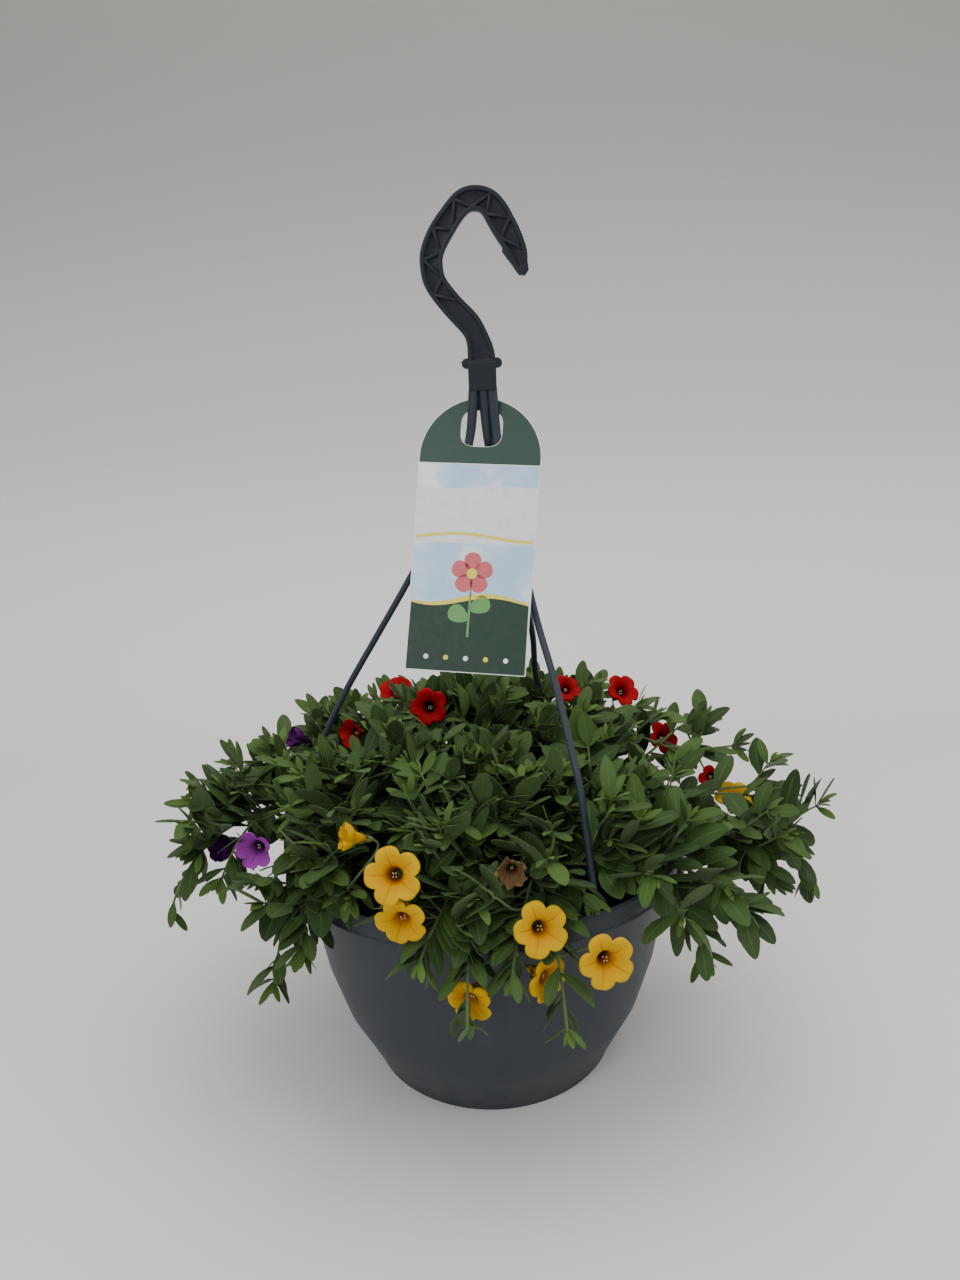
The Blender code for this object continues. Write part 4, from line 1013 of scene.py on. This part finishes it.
def addLeaf(shape, leaf, draw, young=0.0, fine=True):
    blade = blades[fine].copy()
    fold = draw.uniform(0.10, 0.34)
    roll = draw.uniform(-0.05, 0.12)
    sway = draw.uniform(-0.07, 0.07)
    twist = draw.uniform(-0.35, 0.35)
    arch = draw.uniform(-0.05, 0.06)
    tone = draw.random()
    side = leaf["ahead"].cross(leaf["up"])
    shift = leaf.get("shift") or Vector()
    for vert in blade.verts:
        x, row, level = vert.co.x, round(vert.co.y), vert.co.z
        along = bladeForm["stations"][row]
        half = leaf["width"] / 2 * bladeForm["outline"][row]
        turn = twist * along
        out = side * math.cos(turn) + leaf["up"] * math.sin(turn)
        lift = leaf["up"] * math.cos(turn) - side * math.sin(turn)
        vert.co = (leafPoint(leaf, along, 0, 0) + shift * (1 - along) + out * half * x
                   + lift * (half * (fold * abs(x) - 0.16 * x * x - roll * x)
                             + leaf["length"] * arch * math.sin(math.pi * along))
                   + side * leaf["length"] * sway * math.sin(math.pi * 0.5 * along) ** 2
                   + leaf["up"] * bladeForm["thick"] * mm * level)
    kind = blade.loops.layers.float_color["leafKind"]
    for face in blade.faces:
        for corner in face.loops:
            corner[kind] = (tone, young, corner[kind][2], 1)
    joinShape(shape, blade)


def leafFinish():
    finish = newFinish("leafGreen", (0.035, 0.08, 0.014), 0.58, sheen=0.05, specular=0.26)
    paint("Sheen Roughness", 0.5)
    tone, young, under = channels("leafKind")
    uv = addNode("ShaderNodeSeparateXYZ", {0: addNode("ShaderNodeUVMap", uv_map="leafUV").outputs[0]})
    aside, along = offMiddle(uv.outputs[0]), uv.outputs[1]
    rib = spread(sums("DIVIDE", aside, spread(along, 0, 1, 0.085, 0.03)), 0.35, 1, 1, 0, smooth=True)
    slant = sums("SUBTRACT", times(along, 8), times(aside, 6.5))
    vein = spread(offMiddle(sums("FRACT", slant)), 0, 0.14, 1, 0, smooth=True)
    mottle = spread(noise(190, 4, 0.6), 0.35, 0.7)
    base = blendColours(tone, (0.016, 0.042, 0.007), (0.041, 0.086, 0.013))
    base = blendColours(young, base, (0.125, 0.225, 0.030))
    for mask, share, colour in ((mottle, 0.35, (0.050, 0.095, 0.019)), (vein, 0.12, (0.070, 0.130, 0.036)),
                                (rib, 0.5, (0.085, 0.150, 0.045)), (under, 0.55, (0.075, 0.118, 0.045))):
        base = blendColours(times(mask, share), base, colour)
    paint("Base Color", base)
    paint("Roughness", spread(mottle, 0, 1, 0.50, 0.66))
    addBump(sums("SUBTRACT", times(noise(700, 2), 0.5), sums("ADD", rib, times(vein, 0.6))), 0.35, 0.0006)
    return finish


def shootFinish():
    finish = newFinish("shootGreen", (0.12, 0.19, 0.06), 0.6, sheen=0.2, specular=0.3)
    paint("Base Color", blendColours(noise(240, 3, 0.6), (0.060, 0.105, 0.022), (0.110, 0.165, 0.040)))
    addBump(noise(1800, 2), 0.25, 0.0004)
    return finish


def mottledFinish(name, colour, grain, dark, light, roughness, **settings):
    finish = newFinish(name, colour, roughness, **settings)
    paint("Base Color", blendColours(noise(grain), dark, light))
    return finish


# Extra growth: small leaves and side twigs that fill the mound

growth = {"sideLeaves": 9, "twigs": 5, "twigLength": (26, 50), "twigLift": 0.42, "rosette": (7, 5),
          "tipSize": (21, 21 * 0.85), "basal": 4, "basalLength": (45, 85), "basalLift": (0.12, 0.95), "leafStep": 8,
          "turn": 2.4, "budShare": 0.35, "steps": (26, 18), "firstAt": (0.1, 0.15), "lastAt": 0.97, "lastTwigAt": 0.85,
          "roof": ((0, 232), (60, 232), (120, 226), (160, 210), (190, 200), (240, 190)),
          "bloomRoom": 14, "coverRoom": 2.5, "boxRoom": 0.5, "armRoom": 4, "armFrom": 183, "sightAhead": 75,
          "tagRoom": (38, 1.5, -149, 22)}
# tries, turn between them, lean at the foot, its loss and its scatter, sizes, width, droop, step along the curve
leafKinds = {"side": (4, 1.7, (70, 25, 8), (0.8, 1.1), 0.42, (0, 0.25), 0.02),
             "end": (5, 1.3, (74, 30, 10), (0.85, 1.1), 0.43, (0.05, 0.3), 0.02),
             "twig": (3, 1.9, (66, 26, 9), (0.8, 1.15), 0.43, (0, 0.25), 0.03)}
halfHidden = ("yellow_under", "yellow_low", "yellow_hidden", "purple_deep", "red_top", "red_small")
# hanging shoots that carry more leaves towards their ends: how many, how long, how young
leafyEnds = {"yellow_drop": (14, 31, 0.25), "yellow_trail": (13, 33, 0.1), "purple_low": (12, 27, 0.1),
             "purple_far": (10, 24, 0.2), "yellow_hang": (12, 33, 0), "yellow_low": (10, 31, 0),
             "yellow_high": (8, 27, 0.1), "purple_side": (6, 25, 0.2), "red_drop": (8, 27, 0),
             "red_hang": (8, 27, 0), "purple_back": (6, 26, 0)}


def roofAbove(point):
    return alongLine(growth["roof"], math.hypot(point.x, point.y) / mm)


def inWay(point):
    # in the pot, over a bloom's face, in sight of what is kept clear, in the tag or outside the solids' box
    reach, height = math.hypot(point.x, point.y) / mm, point.z / mm
    room = growth["boxRoom"] * mm
    if any(not cadBox[0][axis] + room < point[axis] < cadBox[1][axis] - room for axis in range(3)):
        return True
    if height < pot["top"] + 1:
        if height > pot["collarFoot"] - 1:
            if wallRadius(pot["collarFoot"]) - 2 < reach < pot["rim"] + 1:
                return True
            if reach < pot["rim"] and height < pot["soilMiddle"] + 1:
                return True
        elif reach < wallRadius(height) + 1.2:
            return True
    for spot, axis, low, high, wide in keptClear:
        away = point - spot
        ahead = away.dot(axis)
        if low < ahead < high and (away - axis * ahead).length < wide:
            return True
    local = tagInverse @ point / mm
    wide, deep, low, high = growth["tagRoom"]
    return abs(local.y) < deep and abs(local.x) < wide and low < local.z < high


def leafClear(leaf):
    half = leaf["width"] * 0.4
    return not any(inWay(leafPoint(leaf, along, half, across)) for along in (0.35, 0.7, 1) for across in (-1, 0, 1))


def sideLeaf(base, tangent, turn, lean, length, ratio, droop):
    ahead, up = leanFrom(tangent, outFrom(tangent, turn), math.radians(lean), 0.25, 0.3)
    return {"base": base, "ahead": ahead, "up": up, "length": length * mm, "width": length * ratio * mm,
            "droop": droop}


def clearLeaf(kind, curve, part, turn, length, draw, share=1.0):
    # the first of a few turns round the shoot at which a leaf stands clear
    tries, turnStep, (lean, loss, scatter), sizes, ratio, droop, step = leafKinds[kind]
    for tried in range(tries):
        leaf = sideLeaf(bezierPoint(curve, part), aheadAt(curve, part, step), turn + tried * turnStep,
                        lean - loss * part + draw.uniform(-scatter, scatter),
                        length * draw.uniform(*sizes) * share, ratio, draw.uniform(*droop))
        if leafClear(leaf):
            return leaf
    return None


def addRosette(shape, path, draw, which):
    # young leaves round a tip; which is 0 on a stem and 1 on a twig
    tip, tangent = path[-1], (path[-1] - path[-2]).normalized()
    count, size = growth["rosette"][which], growth["tipSize"][which]
    start = draw.uniform(0, 6.28)
    for index in range(count):
        part = index / (count - 1)
        leaf = sideLeaf(tip - tangent * (1 - part) * 3 * mm, tangent, start + index * growth["turn"],
                        62 - 44 * part + draw.uniform(-8, 8),
                        size * (1 - 0.55 * part) * draw.uniform(0.85, 1.15), 0.34, draw.uniform(0, 0.2))
        if leafClear(leaf):
            addLeaf(shape, leaf, draw, 0.25 + 0.6 * part, fine=False)
    return tangent


def addBud(shape, tip, tangent, draw):
    # closed corolla in a star of narrow sepals
    ahead = (tangent + skyward * 0.5).normalized()
    length = draw.uniform(5, 8) * mm
    if any(inWay(tip + ahead * length * part) for part in (0.5, 1, 1.6)):
        return
    path = [tip + ahead * length * part for part in (-0.3, 0.1, 0.4, 0.7, 0.9, 1)]
    addTube(shape, path, [size * mm for size in (0.5, 0.9, 1.15, 1.5, 1.1, 0.3)], 8, material=2)
    for index in range(6):
        leaf = sideLeaf(tip, ahead, index * 1.047 + 0.3, draw.uniform(22, 58), draw.uniform(6.5, 9.5), 0.19,
                        draw.uniform(0, 0.25))
        addLeaf(shape, leaf, draw, fine=False)


def addTwig(stem, base, ahead, lift, length, draw):
    for reach in (1.0, 0.75, 0.5):
        tip = base + ahead * length * reach * 0.8 + skyward * length * reach * lift
        if tip.z / mm < roofAbove(tip) and not inWay(tip) and not inWay(tip + ahead * 9 * mm):
            break
    else:
        return
    curve = (base, base + ahead * length * reach * 0.4, tip.lerp(base, 0.3) + skyward * length * 0.04, tip)
    path = [bezierPoint(curve, step / 6) for step in range(7)]
    if any(inWay(point) for point in path[2:]):
        return
    shape = startFoliage()
    addTube(shape, path, [(0.8 - 0.35 * step / 6) * mm for step in range(7)], 6, material=1)
    count = max(4, round(length * reach / mm / growth["leafStep"]))
    start = draw.uniform(0, 6.28)
    for index in range(count):
        part = 0.22 + 0.7 * index / (count - 1)
        leaf = clearLeaf("twig", curve, part, index * growth["turn"] + start, 38 - 14 * part, draw, 0.75 + 0.25 * reach)
        if leaf:
            addLeaf(shape, leaf, draw, max(0.0, part - 0.55) * 0.7, fine=False)
    addRosette(shape, path, draw, 1)
    joinShape(stem, shape)


def growShoot(shape, name, shoot, curve, tree, draw):
    steps, perShoot, first = growth["steps"][shoot], leafRule["perShoot"][shoot], growth["firstAt"][shoot]
    parts = [step / steps for step in range(steps + 1)]
    path = [bezierPoint(curve, part) for part in parts]
    if shoot == 0:
        path.insert(0, Vector((curve[0].x, curve[0].y, (pot["soilMiddle"] - plants["depth"]) * mm)))
        parts.insert(0, 0.0)
    tube = startFoliage()
    addTube(tube, path, [stemRadius(shoot, part) for part in parts], 8, material=1)
    joinShape(shape, tube)
    for index in range(perShoot):
        leaf = next((leaf for leaf in leafTries(name, shoot, index, curve) if standsIn(tree, leaf)), None)
        counts["solidLeaves" if leaf else "unmatched"] += 1
        if leaf:
            addLeaf(shape, leaf, draw, 0.25 * (index / perShoot))
    for index in range(growth["sideLeaves"]):
        part = first + (growth["lastAt"] - first) * (index + draw.random()) / growth["sideLeaves"]
        leaf = clearLeaf("side", curve, part, index * growth["turn"], 36 - 13 * part, draw)
        if leaf:
            addLeaf(shape, leaf, draw)
    count, size, young = leafyEnds.get(name, (0, 0, 0))
    for index in range(count):
        part = 0.55 + 0.43 * (index + draw.random()) / count
        leaf = clearLeaf("end", curve, part, index * growth["turn"], size * (1.15 - 0.45 * part), draw)
        if leaf:
            addLeaf(shape, leaf, draw, young * draw.random())
    for index in range(growth["twigs"]):
        part = first + (growth["lastTwigAt"] - first) * (index + draw.random()) / growth["twigs"]
        tangent = aheadAt(curve, part)
        ahead = (tangent * 0.8 + outFrom(tangent, draw.uniform(-2.2, 2.2)) * 0.9).normalized()
        addTwig(shape, bezierPoint(curve, part), ahead, growth["twigLift"],
                draw.uniform(*growth["twigLength"]) * mm, draw)
    tangent = addRosette(shape, path, draw, 0)
    if kindOf(name) != "yellow" and draw.random() < growth["budShare"]:
        addBud(shape, path[-1], tangent, draw)


def makeStem(name):
    shape = startFoliage()
    tree = nodeTree(f"stem_{name}")
    draw = random.Random(f"looks {name}")
    for shoot, curve in enumerate(curves[name]):
        growShoot(shape, name, shoot, curve, tree, draw)
    for index in range(growth["basal"]):
        ahead = around(math.radians(plants["crowns"][kindOf(name)][0] + draw.uniform(-150, 150)))
        addTwig(shape, bezierPoint(curves[name][0], 0.05 + 0.06 * index), ahead, draw.uniform(*growth["basalLift"]),
                draw.uniform(*growth["basalLength"]) * mm, draw)
    addPiece("shoots" + titled(name), shape, [leafGreen, shootGreen, budDark], (f"stem_{name}",), "foliage")


def clearPlaces():
    # cylinders without leaves, from a place along an axis: before each bloom, and on the camera's line of
    # sight to the front arm and to the blooms that aren't half hidden
    eye, ahead = Vector(studio["eye"]), growth["sightAhead"] * mm
    arm = [Vector(point) * mm for point in arms["front"][1][4:]]
    places, sights = [], [(first.lerp(second, part), growth["armRoom"] * mm)
                          for first, second in zip(arm, arm[1:]) for part in (0, 0.2, 0.4, 0.6, 0.8)]
    sights = [sight for sight in sights if sight[0].z > growth["armFrom"] * mm]
    for name in blooms:
        face, facing, _ = bloomFrame(name)
        radius = blooms[name][2] / 2 * mm
        room = growth["coverRoom" if name in halfHidden else "bloomRoom"] * mm
        places.append((face, facing, -0.3 * radius, room, 0.96 * radius))
        if name not in halfHidden:
            sights.append((face, 0.8 * radius))
    return places + [(spot, (eye - spot).normalized(), -4 * mm, ahead, room) for spot, room in sights]


curves = {name: shootCurves(name) for name in stems}
keptClear = clearPlaces()
scratch = bpy.data.meshes.new("scratch")
blades = {True: bladeTemplate(bladeForm["fineAcross"]), False: bladeTemplate(bladeForm["smallAcross"])}
tagInverse = tagMatrix().inverted()
counts = {"solidLeaves": 0, "unmatched": 0}
leafGreen, shootGreen = leafFinish(), shootFinish()
budDark = mottledFinish("budDark", (0.030, 0.008, 0.014), 300, (0.018, 0.006, 0.012), (0.060, 0.014, 0.022), 0.6,
                        sheen=0.1, specular=0.25)
for stemName in stems:
    makeStem(stemName)
print("stems made,", counts)


# Blooms: five joined lobes on a funnel, with veins, throat, stamens, calyx and stalk.
# halfOpen says how deep the lobes are cut and how far they are closed.

halfOpen = {"purple_dark": (0.30, 0.75), "purple_light": (0.30, 0.3), "yellow_small": (0.46, 0.5),
            "purple_upper": (0.30, 0.7), "red_left": (0.27, 0.2), "red_top": (0.27, 0.15)}
# painted shade: the purple blooms that sit deep in the mound get a darker copy of the purple petals
paintedShadeBlooms = {"purple_dark": "plum", "purple_upper": "plum", "purple_deep": "plum"}
corollaForm = {"sectors": 60, "thick": 0.28, "cleft": 0.27, "crumple": 0.10, "open": 0.4,
               # part of the radius, height in radii, then below the mouth in parts of the funnel
               "front": ((1, -0.035), (0.955, 0.02), (0.86, 0.045), (0.72, 0.02), (0.58, -0.025), (0.47, -0.075),
                         (0.385, -0.125)),
               "funnel": ((0.31, 0.13), (0.245, 0.34), (0.19, 0.55), (0.15, 0.78), (0.13, 0.93)),
               "sepals": (5, 8.5, 2.2), "cup": ((-1.6, 0.9), (-0.6, 1.5), (1, 1.75), (3, 1.9)), "anthers": 4,
               "antherSize": 0.42, "antherStretch": (1.3, 0.8, 0.9, 1)}
petalLooks = {"yellow": {"edge": (0.60, 0.355, 0), "middle": (0.58, 0.285, 0), "vein": (0.36, 0.10, 0),
                         "throat": (0.40, 0.12, 0.002), "back": (0.56, 0.29, 0), "veinShow": 0.7},
              "red": {"edge": (0.33, 0.003, 0.007), "middle": (0.25, 0.002, 0.005), "vein": (0.08, 0.001, 0.003),
                      "throat": (0.020, 0.001, 0.002), "back": (0.17, 0.006, 0.009), "veinShow": 0.5},
              "purple": {"edge": (0.36, 0.055, 0.38), "middle": (0.26, 0.032, 0.30), "vein": (0.06, 0.005, 0.08),
                         "throat": (0.04, 0.004, 0.055), "back": (0.16, 0.03, 0.19), "veinShow": 0.5},
              # painted shade: a darker copy of the purple look, for purple blooms in the shade of the mound
              "plum": {"edge": (0.13, 0.014, 0.165), "middle": (0.085, 0.008, 0.11), "vein": (0.02, 0.002, 0.03),
                       "throat": (0.015, 0.002, 0.02), "back": (0.055, 0.008, 0.065), "veinShow": 0.5},
              "withered": {"edge": (0.30, 0.19, 0.09), "middle": (0.24, 0.13, 0.06), "vein": (0.10, 0.045, 0.02),
                           "throat": (0.07, 0.03, 0.015), "back": (0.24, 0.15, 0.08), "veinShow": 0.7}}


def petalFinish(kind):
    look = petalLooks[kind]
    finish = newFinish(kind + "Petal", look["edge"], 0.55, specular=0.07)
    aside, out, under = channels("petal")
    line = spread(sums("DIVIDE", offMiddle(aside), spread(out, 0.2, 1, 0.085, 0.022)), 0.3, 1, 1, 0, smooth=True)
    fan = spread(offMiddle(sums("FRACT", times(aside, 8))), 0, 0.16, 1, 0)
    fanLine = times(fan, spread(out, 0.3, 0.8, 0.5, 0))
    vein = sums("MAXIMUM", times(line, spread(out, 0.35, 0.92, 1, 0.15)), fanLine)
    throat = spread(out, 0.36, 0.17, 0, 1, smooth=True)
    glow = noise(160, 3, 0.6)
    base = blendColours(spread(out, 0.3, 0.9, smooth=True), look["middle"], look["edge"])
    for mask, share, key in ((spread(glow, 0.4, 0.75), 0.35, "middle"), (vein, look["veinShow"], "vein"),
                             (throat, 1, "throat"), (under, 0.8, "back")):
        base = blendColours(times(mask, share), base, look[key])
    paint("Base Color", base)
    paint("Roughness", spread(glow, 0.3, 0.7, 0.46, 0.6))
    addBump(sums("SUBTRACT", times(noise(900, 2), 0.4), sums("ADD", line, times(fanLine, 0.5))), 0.3, 0.0006)
    return finish


def lobeAt(turn):
    # number of the lobe at a turn, and how far across it
    return turn / (2 * math.pi) * 5


def sideOf(turn):
    # 0 in the middle of a lobe, 1 at its joints
    return abs(2 * (lobeAt(turn) % 1.0) - 1)


def lobeReach(turn, draws, cleft):
    # outline of the five lobes: joints at whole fifths, a shallow notch in the middle of each
    side = sideOf(turn)
    return (1 - cleft * side ** 3 - 0.012 * math.exp(-(side / 0.17) ** 2)) * (1 + draws[int(lobeAt(turn)) % 5])


def bloomMatrix(name):
    face, facing, _ = bloomFrame(name)
    return Matrix.Translation(face) @ facing.to_track_quat("Z", "Y").to_matrix().to_4x4()


def makeCorolla(name):
    width = blooms[name][2]
    radius, tube = width / 2 * mm, width * bloomRule["tube"] * mm
    draw = random.Random(f"corolla bloom_{name}")
    lobes = [draw.uniform(-0.05, 0.0) for _ in range(5)]
    waves = [(draw.randint(2, 7), draw.uniform(0, 6.28), draw.uniform(0.006, 0.022)) for _ in range(4)]
    cleft, closing = halfOpen.get(name, (corollaForm["cleft"], 0))
    levels = [(part, height * radius) for part, height in corollaForm["front"]]
    mouth = levels[-1][1]
    levels += [(part, mouth - (tube + mouth) * down) for part, down in corollaForm["funnel"]]
    shape = bmesh.new()
    stations, rings = {}, []
    for part, height in levels:
        ring = bmesh.ops.create_circle(shape, cap_ends=False, segments=corollaForm["sectors"],
                                       radius=radius * part)["verts"]
        grow = max(0.0, (part - corollaForm["open"]) / (1 - corollaForm["open"]))
        for vert in ring:
            turn = math.atan2(vert.co.y, vert.co.x) % (2 * math.pi)
            reach = radius * part * (1 + (lobeReach(turn, lobes, cleft) - 1) * grow ** 1.3)
            side = sideOf(turn)
            lift = height + radius * grow * (0.035 * side ** 2 - 0.028 * math.exp(-(side / 0.2) ** 2))
            lift += radius * grow ** 2 * sum(size * math.sin(count * turn + phase) for count, phase, size in waves)
            lift += radius * closing * grow ** 2
            reach *= 1 - 0.35 * closing * grow ** 2
            if name == "withered":
                reach *= 1 - corollaForm["crumple"] * (1 + math.sin(9 * turn + 20 * part)) * grow
                lift += radius * 0.16 * math.sin(11 * turn + 3) * grow + radius * 0.45 * grow ** 2
            vert.co = around(turn, reach, lift)
            stations[vert] = (turn, part)
        rings.append(edgesOf(ring))
    bridgeRings(shape, rings)
    bmesh.ops.recalc_face_normals(shape, faces=shape.faces)
    if sum(item.normal.z for item in shape.faces) < 0:
        bmesh.ops.reverse_faces(shape, faces=shape.faces)
    petal = shape.loops.layers.float_color.new("petal")
    for item in shape.faces:
        turns = [stations[corner.vert][0] for corner in item.loops]
        wraps = max(turns) - min(turns) > math.pi
        lobe = 4 if wraps else math.floor(lobeAt(sum(turns) / 4))
        for corner in item.loops:
            turn, part = stations[corner.vert]
            if wraps and turn < math.pi:
                turn += 2 * math.pi
            corner[petal] = (min(max(lobeAt(turn) - lobe, 0.0), 1.0), part, 0, 1)
    thicken(shape, petal, mouth)
    sharpen(shape, 1.2)
    soften(shape.faces)
    shape.transform(bloomMatrix(name))
    return shape


def thicken(shape, petal, mouth):
    # a lower layer, marked as the back: below the lobes, and outside the funnel
    grown = bmesh.ops.extrude_face_region(shape, geom=shape.faces[:], use_keep_orig=True)
    shape.normal_update()
    for vert in vertsIn(grown):
        away = Vector((vert.co.x, vert.co.y, 0)).normalized()
        vert.co += (away if vert.co.z < mouth - 0.2 * mm else -skyward) * corollaForm["thick"] * mm
    bmesh.ops.recalc_face_normals(shape, faces=shape.faces)
    for item in grown["geom"]:
        if isinstance(item, bmesh.types.BMFace):
            for corner in item.loops:
                corner[petal] = (corner[petal][0], corner[petal][1], 1, 1)


def addAnthers(shape, name, draw):
    radius = blooms[name][2] / 2 * mm
    for index in range(corollaForm["anthers"]):
        turn = 2 * math.pi * (index + 0.5) / corollaForm["anthers"] + draw.uniform(-0.2, 0.2)
        spot = around(turn, 0.075 * radius, -radius * draw.uniform(0.26, 0.40))
        matrix = (bloomMatrix(name) @ Matrix.Translation(spot)
                  @ Euler((draw.uniform(-0.5, 0.5), draw.uniform(-0.5, 0.5), turn)).to_matrix().to_4x4()
                  @ Matrix.Diagonal(corollaForm["antherStretch"]))
        firstFace = len(shape.faces)
        bmesh.ops.create_icosphere(shape, subdivisions=2, radius=corollaForm["antherSize"] * mm, matrix=matrix)
        soften(since(shape, firstFace), 1)


def makeStalk(name):
    # calyx of five sepals and the stalk down to its stem
    _, facing, foot = bloomFrame(name)
    size = min(1.0, blooms[name][2] / 28)
    draw = random.Random(f"stalk bloom_{name}")
    shape = startFoliage()
    addTube(shape, [foot + facing * step * mm for step, _ in corollaForm["cup"]],
            [radius * mm for _, radius in corollaForm["cup"]], 10, material=1)
    count, length, wide = corollaForm["sepals"]
    side = facing.orthogonal().normalized()
    for index in range(count):
        out = Matrix.Rotation(2 * math.pi * index / count + 0.3, 3, facing) @ side
        lean = math.radians(draw.uniform(16, 40))
        ahead = (facing * math.cos(lean) + out * math.sin(lean)).normalized()
        up = facing - out * 1.2
        leaf = {"base": foot + facing * 1.6 * mm + out * 1.2 * mm, "ahead": ahead,
                "up": (up - ahead * up.dot(ahead)).normalized(),
                "length": length * draw.uniform(0.85, 1.1) * mm * size, "width": wide * mm,
                "droop": draw.uniform(0, 0.3)}
        addLeaf(shape, leaf, draw, 0.15, fine=False)
    found = stalkEnd(name, nodeTree("bloom_" + name))
    if found:
        end, touch, true = found
        reach = (end - foot).length
        curve = (foot + facing * 0.6 * mm, foot - facing * 0.4 * reach, end + touch * 0.35 * reach, end)
        path = [bezierPoint(curve, step / 12) for step in range(13)] + [true]
        radii = [(0.62 + 0.25 * (step / 13) ** 2 if step else 0.95) * mm for step in range(14)]
        addTube(shape, path, radii, 8, material=1)
    else:
        print("stalk not found for", name)
    return shape


def makeBloom(name):
    shape = makeCorolla(name)
    addAnthers(shape, name, random.Random(f"anthers bloom_{name}"))
    kind, node = kindOf(name), (f"bloom_{name}",)
    addPiece("corolla" + titled(name), shape, [petals[paintedShadeBlooms.get(name, kind)], anther], node, kind + "_petals")
    addPiece("stalk" + titled(name), makeStalk(name), [leafGreen, shootGreen], node, "foliage")


petals = {kind: petalFinish(kind) for kind in petalLooks}
anther = mottledFinish("anther", (0.72, 0.62, 0.30), 1500, (0.80, 0.72, 0.42), (0.62, 0.48, 0.16), 0.7)
for bloomName in blooms:
    makeBloom(bloomName)
print("blooms made")
